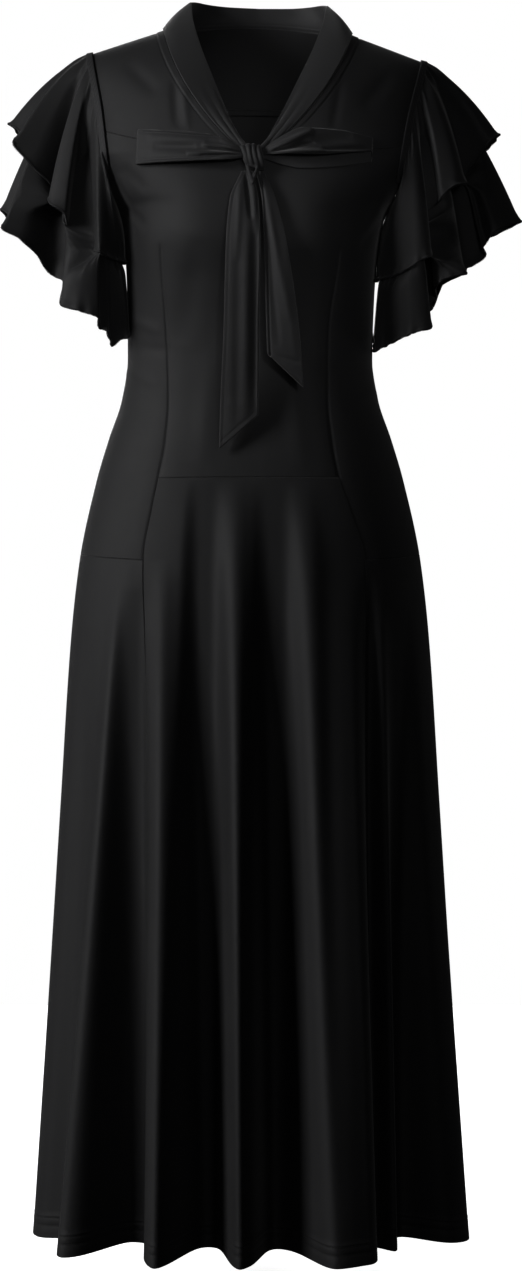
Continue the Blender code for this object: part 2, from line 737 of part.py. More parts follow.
def make_flounce(side, upper, finish):
    """One flounce of a sleeve, a ring of cloth from the armhole seam to its own hem."""
    def surface(u, v):
        angle = -side * 360 * u
        dip = UPPER_FLOUNCE_DIP * math.sin(math.radians(angle)) ** 2
        return sleeve(side, angle, v * (UPPER_FLOUNCE + dip) if upper else v, upper)

    def edge(u):
        return sleeve_start(side, -side * 360 * u)[1]

    side_name = "left" if side < 0 else "right"
    name = f"sleeve_{'upper' if upper else 'lower'}_flounce_{side_name}"
    rows = steps(4) if upper else [UPPER_FLOUNCE * k / 4 for k in range(4)] + [UPPER_FLOUNCE, 0.78, 1.0]
    return cloth(name, surface, steps(44), rows, FLOUNCE, finish, closed=True, edge=edge)


def neck_seam(share):
    """The neck seam on the right half, from centre back at share 0 down to the V's end at 1.

    It gives the point and the yoke's outward normal there, both for a middle at x = 0.
    """
    step = 0.0006
    if share <= NECK_SHARE:
        out = NECK_OUT * math.sin(math.pi / 2 * share / NECK_SHARE)
        depth, height = back_top(out)
        lower = body_depth(False, out, height - step) - depth
        further = back_top(out + step)
        across = Vector((step, further[0] - depth, further[1] - height))
        return Vector((out, depth, height)), Vector((0, lower, -step)).cross(across).normalized()
    fall = (share - NECK_SHARE) / (1 - NECK_SHARE)
    out = quadratic(NECK_OUT, NECK_BEND[0], V_END[0], fall)
    height = quadratic(shoulder_height(NECK_OUT), NECK_BEND[1], V_END[1], fall)
    depth = body_depth(True, out, height)
    lean_out = (body_depth(True, out + step, height - step) - body_depth(True, out, height - step)) / step
    lean_up = (depth - body_depth(True, out, height - step)) / step
    return Vector((out, depth, height)), Vector((lean_out, -1, lean_up)).normalized()


def collar_edge(share):
    return Vector((
        along(COLLAR_EDGE, "out", share),
        along(COLLAR_EDGE, "depth", share),
        along(COLLAR_EDGE, "height", share),
    ))


def make_collar(finish):
    """The folded band that stands at the back neck and lies along both sides of the V."""

    def half(u):
        return (1 if u > 0.5 else -1), abs(2 * u - 1)

    def surface(u, v):
        side, share = half(u)
        share *= 0.985
        seam, normal = neck_seam(share)
        edge = collar_edge(share)
        start = seam + (edge - seam).normalized() * 2 * GAP
        point = mix(start, edge, v) + normal * 0.003 * math.sin(math.pi * v) * (1 - 0.5 * share)
        return leaning(side * point.x, point.y, point.z)

    def laid(u, v):
        return surface(1 - u, v)

    def edge(u):
        side, share = half(1 - u)
        normal = neck_seam(share * 0.985)[1]
        return Vector((side * normal.x, normal.y, normal.z))

    return cloth("collar_band", laid, steps(36), steps(3), BAND, finish, edge=edge)


def make_knot(finish):
    """The knot of the bow: a rounded lump with the grooves between its wraps."""
    mesh = bmesh.new()
    bmesh.ops.create_uvsphere(mesh, u_segments=20, v_segments=12, radius=1)
    for vert in mesh.verts:
        x, y, z = vert.co
        groove = math.cos(2 * math.pi * KNOT_WRAPS * (x + 0.25 * z) / 1.6) * (1 - z * z)
        wrap = 1 + 0.10 * groove if y < 0 else 1.0
        vert.co = Vector((
            KNOT.x + x * KNOT_SIZE.x,
            KNOT.y + y * KNOT_SIZE.y * wrap,
            KNOT.z + z * KNOT_SIZE.z,
        ))
    return finished("bow_knot", mesh, finish)


def make_loop(side, finish):
    """A loop of the bow: a strip that runs out from the knot, folds over and comes back behind."""
    table = LOOPS[side]
    first, last = table[0].out, table[-1].out
    fold_share = 0.06

    def surface(u, v):
        if u < 0.5 - fold_share:
            run, turn = u / (0.5 - fold_share), 0.0
        elif u > 0.5 + fold_share:
            run, turn = (1 - u) / (0.5 - fold_share), math.pi
        else:
            run, turn = 1.0, math.pi * (u - 0.5 + fold_share) / (2 * fold_share)
        out = mix(first, last, run)
        height = mix(along(table, "high", out), along(table, "low", out), v)
        full = mix(0.0078, LOOP_FULL, ease(2.2 * run)) * (1 - 0.25 * run)
        rest = mix(0.0030, LOOP_REST, ease(2.2 * run))
        radius = (full - rest) / 2
        lift = rest + radius * (1 + math.cos(turn))
        across = side * (out + radius * math.sin(turn))
        chest = body_depth(True, abs(across), height)
        return leaning(across, chest - lift, height)

    def laid(u, v):
        return surface(u, 1 - v if side < 0 else v)

    name = "bow_loop_left" if side < 0 else "bow_loop_right"
    ends = 0.5 - fold_share
    columns = [ends * k / 8 for k in range(8)]
    columns += [mix(ends, 1 - ends, k / 6) for k in range(6)]
    columns += [mix(1 - ends, 1, k / 8) for k in range(9)]
    return cloth(name, laid, columns, steps(4), 0.0016, finish)


def make_tail(name, finish):
    """A hanging end of the tie, cut off on the slant."""
    table = TAILS[name]
    top, bottom = table[0].height, table[-1].height

    def surface(u, v):
        rise = mix(*TAIL_SLANT[name], u)
        height = mix(top, bottom + rise, v)
        left, right = along(table, "left", height), along(table, "right", height)
        depth = along(table, "depth", height) - 0.0015 * math.sin(math.pi * u)
        return Vector((mix(left, right, u), depth, height))

    return cloth(name, surface, steps(5), steps(14), BAND, finish)


def main():
    clear_scene()
    jersey = material("black_jersey", (0.012, 0.012, 0.013), 0.55)
    flounce_jersey = material("flounce_jersey", (0.012, 0.012, 0.013), 0.55)
    tie_jersey = material("tie_jersey", (0.014, 0.014, 0.015), 0.50)
    for side in (-1, 1):
        make_front_yoke(side, jersey)
        make_skirt_side(side, jersey)
        make_flounce(side, False, flounce_jersey)
        make_flounce(side, True, flounce_jersey)
        make_loop(side, tie_jersey)
    make_back_yoke(jersey)
    make_bodice_front(jersey)
    make_bodice_back(jersey)
    make_skirt_centre(jersey)
    make_skirt_back(jersey)
    make_collar(tie_jersey)
    make_knot(tie_jersey)
    for name in TAILS:
        make_tail(name, tie_jersey)


main()
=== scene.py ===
import math
from collections import namedtuple

import bmesh
import bpy
import numpy as np
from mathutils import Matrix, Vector
from mathutils.bvhtree import BVHTree


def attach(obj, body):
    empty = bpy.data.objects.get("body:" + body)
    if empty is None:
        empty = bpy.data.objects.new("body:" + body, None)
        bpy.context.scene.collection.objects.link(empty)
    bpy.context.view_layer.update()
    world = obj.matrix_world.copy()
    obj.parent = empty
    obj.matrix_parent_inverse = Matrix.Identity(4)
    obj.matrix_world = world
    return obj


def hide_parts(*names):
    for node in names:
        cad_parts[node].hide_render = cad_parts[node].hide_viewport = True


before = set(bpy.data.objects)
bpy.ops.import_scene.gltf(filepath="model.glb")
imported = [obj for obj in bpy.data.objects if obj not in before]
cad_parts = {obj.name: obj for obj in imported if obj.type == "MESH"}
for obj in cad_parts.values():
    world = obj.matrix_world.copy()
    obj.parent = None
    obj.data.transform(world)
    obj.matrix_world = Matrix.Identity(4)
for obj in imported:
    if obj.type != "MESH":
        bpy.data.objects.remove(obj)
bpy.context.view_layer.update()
print("packed dress loaded")

# Shape of the dress, in metres: the same sizes as its solids.
# The front faces -Y, and left and right are an onlooker's.
Section = namedtuple("Section", "height halfWidth front back")
sections = [
    Section(-0.136, 0.1860, 0.104, 0.097),
    Section(-0.160, 0.1640, 0.110, 0.098),
    Section(-0.180, 0.1470, 0.113, 0.097),
    Section(-0.190, 0.1380, 0.114, 0.096),
    Section(-0.215, 0.1330, 0.115, 0.094),
    Section(-0.270, 0.1285, 0.107, 0.089),
    Section(-0.340, 0.1270, 0.099, 0.085),
    Section(-0.382, 0.1330, 0.101, 0.092),
    Section(-0.423, 0.1466, 0.106, 0.103),
    Section(-0.465, 0.1590, 0.112, 0.115),
    Section(-0.548, 0.1768, 0.121, 0.129),
    Section(-0.631, 0.1860, 0.127, 0.134),
    Section(-0.798, 0.1966, 0.135, 0.141),
    Section(-1.006, 0.2096, 0.146, 0.150),
    Section(-1.252, 0.2257, 0.158, 0.158),
]
FrontSeam = namedtuple("FrontSeam", "height left right")
frontSeams = [
    FrontSeam(-0.110, -0.078, 0.080),
    FrontSeam(-0.227, -0.093, 0.091),
    FrontSeam(-0.318, -0.086, 0.081),
    FrontSeam(-0.387, -0.083, 0.080),
    FrontSeam(-0.428, -0.086, 0.084),
    FrontSeam(-0.466, -0.093, 0.091),
    FrontSeam(-0.500, -0.100, 0.103),
    FrontSeam(-0.550, -0.108, 0.117),
    FrontSeam(-0.800, -0.106, 0.121),
    FrontSeam(-1.252, -0.105, 0.124),
]
Armhole = namedtuple("Armhole", "height out")
armholes = [
    Armhole(-0.0269, 0.176),
    Armhole(-0.060, 0.168),
    Armhole(-0.092, 0.161),
    Armhole(-0.124, 0.156),
    Armhole(-0.160, 0.150),
    Armhole(-0.180, 0.1435),
    Armhole(-0.190, 0.138),
]
figure = {
    "seamGap": 0.0003,
    "hem": -1.252,
    "waistSeam": -0.4663,
    "hipAtSide": -0.5415,
    "hipAtFront": -0.550,
    "hipAtBack": -0.545,
    "underarm": -0.190,
    "chest": -0.136,
    "squareness": 2.3,
    "lean": 0.008,
    "leanFrom": -0.340,
    "droop": 0.7,
    "neckOut": 0.098,
    "neckHeight": 0.0,
    "neckShare": 0.36,
    "shoulderDrop": 0.345,
    "shoulderBack": 0.008,
    "shoulderRound": math.radians(75),
    "backNeckHeight": 0.014,
    "backNeckDepth": 0.062,
    "neckBend": (0.084, -0.074),
    "neckEnd": (0.013, -0.1355),
    "yokeSeamLeft": -0.112,
    "yokeSeamRight": -0.124,
    "yokeSeamMiddle": -0.136,
    "backYokeMiddle": -0.069,
    "backYokeSide": -0.080,
    "bustOut": 0.070,
    "bustHeight": -0.214,
    "bustRise": 0.012,
    "bustSpread": 0.052,
    "hemRise": 0.007,
    "hemLift": 0.13,
}


def mix(a, b, share):
    return a + (b - a) * share


def ease(share):
    share = np.clip(share, 0.0, 1.0)
    return share * share * (3 - 2 * share)


def bell(distance):
    return np.exp(-distance * distance)


def point(x, y, z):
    return np.stack(np.broadcast_arrays(x, y, z), axis=-1).astype(float)


def unit(vectors):
    return vectors / np.maximum(np.linalg.norm(vectors, axis=-1, keepdims=True), 1e-12)


# a table's column at places in its first column, as a smooth curve with no overshoot
def along(table, column, place):
    rows = sorted((row[0], getattr(row, column)) for row in table)
    x = np.array([row[0] for row in rows])
    y = np.array([row[1] for row in rows])
    steep = np.diff(y) / np.diff(x)
    before, after = steep[:-1], steep[1:]
    same = before * after > 0
    middle = np.where(same, 2 * before * after / np.where(same, before + after, 1), 0)
    slope = np.concatenate([steep[:1], middle, steep[-1:]])
    place = np.clip(place, x[0], x[-1])
    i = np.clip(np.searchsorted(x, place, side="right") - 1, 0, len(steep) - 1)
    span = x[i + 1] - x[i]
    t = (place - x[i]) / span
    bend = slope[i] * t * (1 - t) ** 2 - slope[i + 1] * t * t * (1 - t)
    return y[i] * (1 + 2 * t) * (1 - t) ** 2 + y[i + 1] * t * t * (3 - 2 * t) + span * bend


def quadratic(start, bend, end, share):
    return mix(mix(start, bend, share), mix(bend, end, share), share)


# the point that x, y and height give once the dress leans over to the right
def leaning(x, y, height):
    share = np.maximum(0.0, 1 - height / figure["leanFrom"])
    turn = figure["droop"] * 1.5 * figure["lean"] * np.sqrt(share) / -figure["leanFrom"]
    return point(x + figure["lean"] * share**1.5, y, height - turn * x)


def shoulderHeight(out):
    return figure["neckHeight"] - figure["shoulderDrop"] * (np.abs(out) - figure["neckOut"])


# depth and height of the back yoke's top edge: the back neck, then the shoulder seam
def backTop(out):
    share = np.minimum(1.0, np.abs(out) / figure["neckOut"])
    depth = mix(figure["shoulderBack"], figure["backNeckDepth"], (1 - share**2) ** 0.6)
    neck = mix(figure["backNeckHeight"], shoulderHeight(figure["neckOut"]), share**2)
    return depth, np.where(np.abs(out) >= figure["neckOut"], shoulderHeight(out), neck)


def sectionDepth(front, out, height):
    half = along(sections, "halfWidth", height)
    square = figure["squareness"]
    rounded = np.maximum(0.0, 1 - np.minimum(1.0, np.abs(out) / half) ** square) ** (1 / square)
    bust = figure["bustRise"] * bell((np.abs(out) - figure["bustOut"]) / figure["bustSpread"])
    bust = bust * bell((height - figure["bustHeight"]) / 0.06)
    ahead = -(along(sections, "front", height) + bust)
    return np.where(front, ahead, along(sections, "back", height)) * rounded


# y of the cloth's outer face, before folds
def bodyDepth(front, out, height):
    chest, full = figure["chest"], figure["shoulderRound"]
    backDepth, backHeight = backTop(out)
    topDepth = np.where(front, figure["shoulderBack"], backDepth)
    topHeight = np.where(front, shoulderHeight(out), backHeight)
    backTurn = math.radians(38) * ease(1.4 * (1 - np.abs(out) / figure["neckOut"]))
    turn = np.where(front, 0.0, backTurn)
    drop = np.clip((topHeight - height) / (topHeight - chest), 0.0, 1.0)
    cosine = np.cos(turn) - drop * (np.cos(turn) - math.cos(full))
    turned = np.sqrt(np.maximum(0.0, 1 - cosine * cosine)) - np.sin(turn)
    share = turned / (math.sin(full) - np.sin(turn))
    above = mix(topDepth, sectionDepth(front, out, chest), share)
    return np.where(height <= chest, sectionDepth(front, out, height), above)


# The skirt's folds. Angles run from 0 at the left side seam over 90 at centre front to 180,
# and on over the back. Reach is at the hem, outwards, width is half of the fold's, and a
# higher power gives it a flatter bottom and steeper sides.
Fold = namedtuple("Fold", "top hem width reach start power")
folds = [
    Fold(30, 27, 9, -0.018, -0.62, 2),
    Fold(49, 43, 7, 0.032, -0.55, 2),
    Fold(52, 57, 7.2, -0.044, -0.58, 4),
    Fold(63, 71.5, 5.0, 0.038, -0.55, 2),
    Fold(76.5, 80.5, 6.8, -0.047, -0.47, 4),
    Fold(86.5, 88.6, 4.1, 0.040, -0.47, 2),
    Fold(96.5, 97, 7.0, -0.045, -0.47, 4),
    Fold(107.5, 104.5, 5.6, 0.032, -0.47, 2),
    Fold(118, 115, 8, 0.030, -0.57, 3),
    Fold(130, 124, 4, -0.036, -0.56, 2),
    Fold(134, 128, 4, 0.020, -0.59, 2),
    Fold(145, 139, 10, -0.044, -0.60, 3),
    Fold(166, 162, 8, 0.008, -0.66, 2),
    Fold(196, 198, 9, -0.024, -0.60, 2),
    Fold(214, 212, 8, 0.030, -0.60, 2),
    Fold(228, 228, 7, -0.036, -0.58, 3),
    Fold(242, 243, 7, 0.034, -0.57, 2),
    Fold(255, 257, 7, -0.036, -0.57, 3),
    Fold(269, 271, 7, 0.034, -0.57, 2),
    Fold(283, 285, 7, -0.038, -0.57, 3),
    Fold(298, 299, 8, 0.036, -0.58, 2),
    Fold(314, 313, 7, -0.034, -0.58, 3),
    Fold(330, 328, 8, 0.030, -0.62, 2),
    Fold(346, 344, 9, -0.020, -0.62, 2),
]


def foldReach(angle, height):
    total = np.zeros(np.broadcast(angle, height).shape)
    for fold in folds:
        down = np.clip((fold.start - height) / (fold.start - figure["hem"]), 0.0, None)
        centre = mix(fold.top, fold.hem, down**0.6)
        apart = (angle - centre + 180) % 360 - 180
        width = fold.width * mix(0.8, 1.0, down)
        total = total + fold.reach * down**0.85 * np.exp(-np.abs(apart / width) ** fold.power)
    return total


# Small creases of the worn dress, as soft ridges or troughs between two places on its front
# or back. Each fades out at both ends.
Crease = namedtuple("Crease", "x1 z1 x2 z2 width rise")
creases = {
    "front": [
        Crease(-0.138, -0.158, -0.118, -0.196, 0.0042, 0.0016),
        Crease(-0.133, -0.150, -0.108, -0.176, 0.0050, -0.0012),
        Crease(-0.130, -0.186, -0.108, -0.212, 0.0040, -0.0012),
        Crease(0.139, -0.168, 0.118, -0.215, 0.0042, 0.0016),
        Crease(0.132, -0.160, 0.108, -0.190, 0.0050, -0.0012),
        Crease(0.130, -0.196, 0.112, -0.232, 0.0040, -0.0012),
        Crease(-0.126, -0.300, -0.092, -0.318, 0.0050, 0.0012),
        Crease(-0.126, -0.330, -0.080, -0.338, 0.0060, -0.0012),
        Crease(-0.128, -0.352, -0.094, -0.372, 0.0050, 0.0012),
        Crease(0.128, -0.312, 0.100, -0.334, 0.0050, 0.0012),
        Crease(0.127, -0.345, 0.086, -0.352, 0.0060, -0.0012),
        Crease(0.130, -0.372, 0.104, -0.392, 0.0050, 0.0010),
        Crease(-0.052, -0.226, -0.070, -0.330, 0.0120, -0.0014),
        Crease(0.050, -0.236, 0.062, -0.350, 0.0120, -0.0014),
        Crease(-0.040, -0.340, -0.048, -0.455, 0.0110, 0.0012),
        Crease(0.040, -0.360, 0.052, -0.460, 0.0110, 0.0012),
        Crease(-0.083, -0.060, -0.079, -0.112, 0.0045, -0.0014),
        Crease(-0.073, -0.070, -0.067, -0.116, 0.0040, 0.0012),
        Crease(-0.135, -0.040, -0.100, -0.075, 0.0080, -0.0012),
        Crease(0.088, -0.056, 0.080, -0.112, 0.0050, -0.0012),
        Crease(0.140, -0.045, 0.110, -0.086, 0.0080, -0.0012),
    ],
    "back": [
        Crease(-0.140, -0.130, -0.104, -0.182, 0.0060, 0.0016),
        Crease(-0.134, -0.112, -0.096, -0.150, 0.0060, -0.0014),
        Crease(0.142, -0.134, 0.108, -0.190, 0.0060, 0.0016),
        Crease(0.132, -0.116, 0.094, -0.156, 0.0060, -0.0014),
        Crease(-0.124, -0.318, -0.050, -0.334, 0.0060, 0.0018),
        Crease(-0.120, -0.338, -0.034, -0.352, 0.0056, -0.0018),
        Crease(-0.122, -0.362, -0.060, -0.370, 0.0056, 0.0016),
        Crease(0.126, -0.326, 0.056, -0.342, 0.0060, 0.0018),
        Crease(0.122, -0.346, 0.040, -0.358, 0.0056, -0.0018),
        Crease(0.124, -0.372, 0.068, -0.384, 0.0056, 0.0016),
        Crease(-0.030, -0.200, -0.046, -0.300, 0.0140, -0.0014),
        Crease(0.034, -0.190, 0.048, -0.300, 0.0140, -0.0014),
        Crease(-0.045, -0.400, -0.070, -0.520, 0.0140, 0.0014),
        Crease(0.050, -0.410, 0.072, -0.520, 0.0140, 0.0014),
    ],
}


def creaseLift(rows, x, z):
    total = np.zeros(np.broadcast(x, z).shape)
    for row in rows:
        spanX, spanZ = row.x2 - row.x1, row.z2 - row.z1
        share = ((x - row.x1) * spanX + (z - row.z1) * spanZ) / (spanX**2 + spanZ**2)
        share = np.clip(share, 0.0, 1.0)
        apart = np.hypot(x - row.x1 - share * spanX, z - row.z1 - share * spanZ)
        total = total + row.rise * bell(apart / row.width) * np.sqrt(np.sin(np.pi * share) + 1e-9)
    return total


# moves a place of the dress outwards by folds and creases, and leans it
def creased(front, out, depth, height, reach=0.0):
    lift = np.where(front, creaseLift(creases["front"], out, height), creaseLift(creases["back"], out, height))
    half = along(sections, "halfWidth", height)
    wide = np.where(front, along(sections, "front", height), along(sections, "back", height))
    rise = np.clip((height - figure["chest"]) / 0.14, 0.0, 0.8) * wide
    away = unit(point(out / half**2, depth / wide**2, rise / wide**2)) * (reach + lift)[..., None]
    moved = leaning(out + away[..., 0], depth + away[..., 1], height)
    moved[..., 2] += away[..., 2]
    return moved


# a point of the dress's outer face
def dress(angle, height):
    angle, height = np.broadcast_arrays(angle, height)
    turn = np.radians(angle)
    front = angle % 360 <= 180
    half = along(sections, "halfWidth", height)
    edge = np.where(height <= figure["underarm"], half, along(armholes, "out", height))
    out = -np.sign(np.cos(turn)) * np.abs(np.cos(turn)) ** (2 / figure["squareness"]) * edge
    depth = bodyDepth(front, out, height)
    return creased(front, out, depth, height, foldReach(angle % 360, height))


# the front angle at a distance out from the dress's middle
def angleOf(out, height):
    half = along(sections, "halfWidth", height)
    edge = np.where(height <= figure["underarm"], half, along(armholes, "out", height))
    share = np.minimum(1.0, np.abs(out) / edge) ** (figure["squareness"] / 2)
    return np.degrees(np.arccos(-np.sign(out) * share))


def seamAngle(side, height):
    return angleOf(along(frontSeams, "left" if side < 0 else "right", height), height)


def hipHeight(angle):
    back = mix(figure["hipAtSide"], figure["hipAtBack"], np.sin(np.radians(angle - 180)))
    left, right = (seamAngle(side, figure["hipAtFront"]) for side in (-1, 1))
    share = np.where(angle < 90, angle / left, (180 - angle) / (180 - right))
    front = mix(figure["hipAtSide"], figure["hipAtFront"], np.clip(share, 0.0, 1.0))
    return np.where(angle > 180, back, front)


def hemHeight(angle):
    rise = figure["hemRise"] * np.abs(np.cos(np.radians(angle)))
    return figure["hem"] + rise - figure["hemLift"] * foldReach(angle % 360, figure["hem"])


# height of the front yoke seam, which rises from the middle to the armhole
def yokeSeamHeight(side, out):
    end = np.where(side < 0, figure["yokeSeamLeft"], figure["yokeSeamRight"])
    share = np.minimum(1.0, out / along(armholes, "out", end))
    return mix(figure["yokeSeamMiddle"], end, share**2.2)


def backYokeHeight(out):
    share = np.minimum(1.0, out / along(armholes, "out", figure["backYokeSide"]))
    return mix(figure["backYokeMiddle"], figure["backYokeSide"], share**2)


def bodiceTop(angle):
    turn = np.radians(angle)
    side = np.where(np.cos(turn) > 0, -1, 1)
    height = figure["backYokeSide"] + 0 * turn
    for _ in range(6):
        out = np.abs(np.cos(turn)) ** (2 / figure["squareness"]) * along(armholes, "out", height)
        height = np.where(angle > 180, backYokeHeight(out), yokeSeamHeight(side, out))
    return height - figure["seamGap"]


# Walls of cloth
def steps(count, low=0.0, high=1.0):
    return np.linspace(low, high, count + 1)


# shares along an edge of this length, even but for close rows at both ends
def graded(count, length, near=(0.0009, 0.0024)):
    shares = [k / count for k in range(count + 1)]
    ends = [step / length for step in near if step < 0.8 * length / count]
    return np.array(sorted(shares + ends + [1 - share for share in ends]))


def acrossAndDown(points, closed):
    if closed:
        ring = np.concatenate([points[:, -2:-1], points, points[:, 1:2]], axis=1)
        across = ring[:, 2:] - ring[:, :-2]
    else:
        across = np.gradient(points, axis=1)
    return across, np.gradient(points, axis=0)


def normalsOf(points, closed=False):
    across, down = acrossAndDown(points, closed)
    return unit(np.cross(down, across))


# metres across from the middle column and down from the first row, for the knit
def clothPlaces(points):
    across = np.linalg.norm(np.diff(points, axis=1), axis=-1).cumsum(axis=1)
    across = np.concatenate([np.zeros((len(points), 1)), across], axis=1)
    across -= across[:, across.shape[1] // 2][:, None]
    down = np.linalg.norm(np.diff(points, axis=0), axis=-1).cumsum(axis=0).mean(axis=1)
    down = np.concatenate([[0.0], down])[:, None] + 0 * across
    return np.stack([across, down], axis=-1)


# A closed wall of cloth from a grid of points on its outer face. Its edges are rounded off.
# swell thickens it there, keep says which cells it has, and first gives the way out at its
# first row, where that has to lie flat against another piece.
def clothWall(name, points, thickness, finish, closed=False, keep=None, first=None, swell=None):
    normal = normalsOf(points, closed)
    if first is not None:
        normal[0] = first
    more = 0 if swell is None else swell[..., None]
    places = clothPlaces(points)
    count, columns = points.shape[0], points.shape[1] - (1 if closed else 0)
    outer = points + normal * more
    inner = points - normal * (thickness + more)
    middle = points - normal * thickness / 2
    if keep is None:
        keep = np.ones((count - 1, points.shape[1] - 1), bool)
    rows, cols = np.nonzero(keep)
    rights = (cols + 1) % columns

    def has(row, col):
        if closed:
            col = col % columns
        inside = (row >= 0) & (row < count - 1) & (col >= 0) & (col < keep.shape[1])
        return inside & keep[np.clip(row, 0, count - 2), np.clip(col, 0, keep.shape[1] - 1)]

    # each cell's sides, as from and to corners, with the way in to the cell
    sides = [
        (~has(rows, cols - 1), (rows, cols, cols), (rows + 1, cols, cols), (0, 1)),
        (~has(rows + 1, cols), (rows + 1, cols, cols), (rows + 1, rights, cols + 1), (-1, 0)),
        (~has(rows, cols + 1), (rows + 1, rights, cols + 1), (rows, rights, cols + 1), (0, -1)),
        (~has(rows - 1, cols), (rows, rights, cols + 1), (rows, cols, cols), (1, 0)),
    ]
    inward = np.zeros_like(points)
    reach = np.full(points.shape[:2], 1.0)
    rim = []
    for free, start, end, (downward, sideways) in sides:
        rim.append((tuple(a[free] for a in start), tuple(a[free] for a in end)))
        for row, col, _ in rim[-1]:
            nextCol = (col + sideways) % columns if closed else col + sideways
            away = points[row + downward, nextCol] - points[row, col]
            far = np.linalg.norm(away, axis=-1)
            np.add.at(inward, (row, col), unit(away))
            np.minimum.at(reach, (row, col), far)
    inset = np.minimum(0.36 * thickness, 0.42 * reach)[..., None] * unit(inward)
    outer, inner = outer + inset, inner + inset
    middle = middle - unit(inward) * figure["seamGap"] * 0.8
    layers = [layer[:, :columns].reshape(-1, 3) for layer in (outer, inner, middle)]
    size = count * columns

    def corner(row, col, layer):
        return layer * size + row * columns + col

    quads, uvs = [], []

    def addQuads(corners):
        quads.append(np.stack([corner(row, col, layer) for (row, col, _), layer in corners], axis=1))
        uvs.append(np.stack([places[row, flat] for (row, _, flat), _ in corners], axis=1))

    a, b = (rows, cols, cols), (rows + 1, cols, cols)
    c, d = (rows + 1, rights, cols + 1), (rows, rights, cols + 1)
    addQuads([(a, 0), (b, 0), (c, 0), (d, 0)])
    addQuads([(d, 1), (c, 1), (b, 1), (a, 1)])
    for start, end in rim:
        addQuads([(end, 0), (start, 0), (start, 2), (end, 2)])
        addQuads([(end, 2), (start, 2), (start, 1), (end, 1)])
    return meshPiece(name, np.concatenate(layers), np.concatenate(quads), np.concatenate(uvs), finish)


# faces as a mesh object, without the points that none of them uses
def meshPiece(name, vertices, faces, uvs, finish):
    used, index = np.unique(faces, return_inverse=True)
    faces = index.reshape(faces.shape)
    mesh = bpy.data.meshes.new(name)
    mesh.from_pydata(vertices[used].tolist(), [], faces.tolist())
    if uvs is not None:
        mesh.uv_layers.new(name="cloth").data.foreach_set("uv", uvs.reshape(-1).astype(np.float32))
    mesh.shade_smooth()
    mesh.materials.append(finish)
    made = bpy.data.objects.new(name, mesh)
    bpy.context.scene.collection.objects.link(made)
    return made


def sewn(piece, node):
    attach(piece, "root")
    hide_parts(node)
    half = sum(face.area for face in piece.data.polygons) / 2
    print(f"{piece.name}: {len(piece.data.polygons)} faces, {half:.4f} square metres of cloth")
    return piece


# Finishes
class Wire:
    """A node's output, with sums on it adding Math nodes."""

    def __init__(self, nodes, socket):
        self.nodes, self.socket = nodes, socket

    def join(self, operation, first, second):
        return self.nodes.add("Math", {"operation": operation}, {0: first, 1: second})

    def __add__(self, other):
        return self.join("ADD", self, other)

    def __radd__(self, other):
        return self.join("ADD", other, self)

    def __sub__(self, other):
        return self.join("SUBTRACT", self, other)

    def __rsub__(self, other):
        return self.join("SUBTRACT", other, self)

    def __mul__(self, other):
        return self.join("MULTIPLY", self, other)

    def __rmul__(self, other):
        return self.join("MULTIPLY", other, self)

    def __truediv__(self, other):
        return self.join("DIVIDE", self, other)

    def does(self, operation, other=0.0):
        return self.join(operation, self, other)


class NodeBoard:
    def __init__(self, tree, family="ShaderNode"):
        self.tree, self.family = tree, family

    def add(self, kind, settings, values, output=0):
        family = "" if "Node" in kind else "ShaderNode" if kind in ("Math", "CombineXYZ") else self.family
        made = self.tree.nodes.new(family + kind)
        for name, value in settings.items():
            if name == "stops":
                for place, colour in value[2:]:
                    made.color_ramp.elements.new(place)
                for element, (place, colour) in zip(made.color_ramp.elements, value):
                    element.position, element.color = place, colour
            else:
                setattr(made, name, value)
        for name, value in values.items():
            if isinstance(value, Wire):
                self.tree.links.new(value.socket, made.inputs[name])
            else:
                made.inputs[name].default_value = value
        return Wire(self, made.outputs[output])


jerseyLook = {
    "tone": (0.0105, 0.0105, 0.0115),
    "worn": (0.0150, 0.0150, 0.0162),
    "roughness": (0.60, 0.72),
    "sheen": 0.17,
    "sheenRoughness": 0.42,
    "wale": 0.0011,
    "course": 0.0009,
    "knitDepth": 0.00009,
    "pillScale": 240.0,
    "onCloth": True,
}


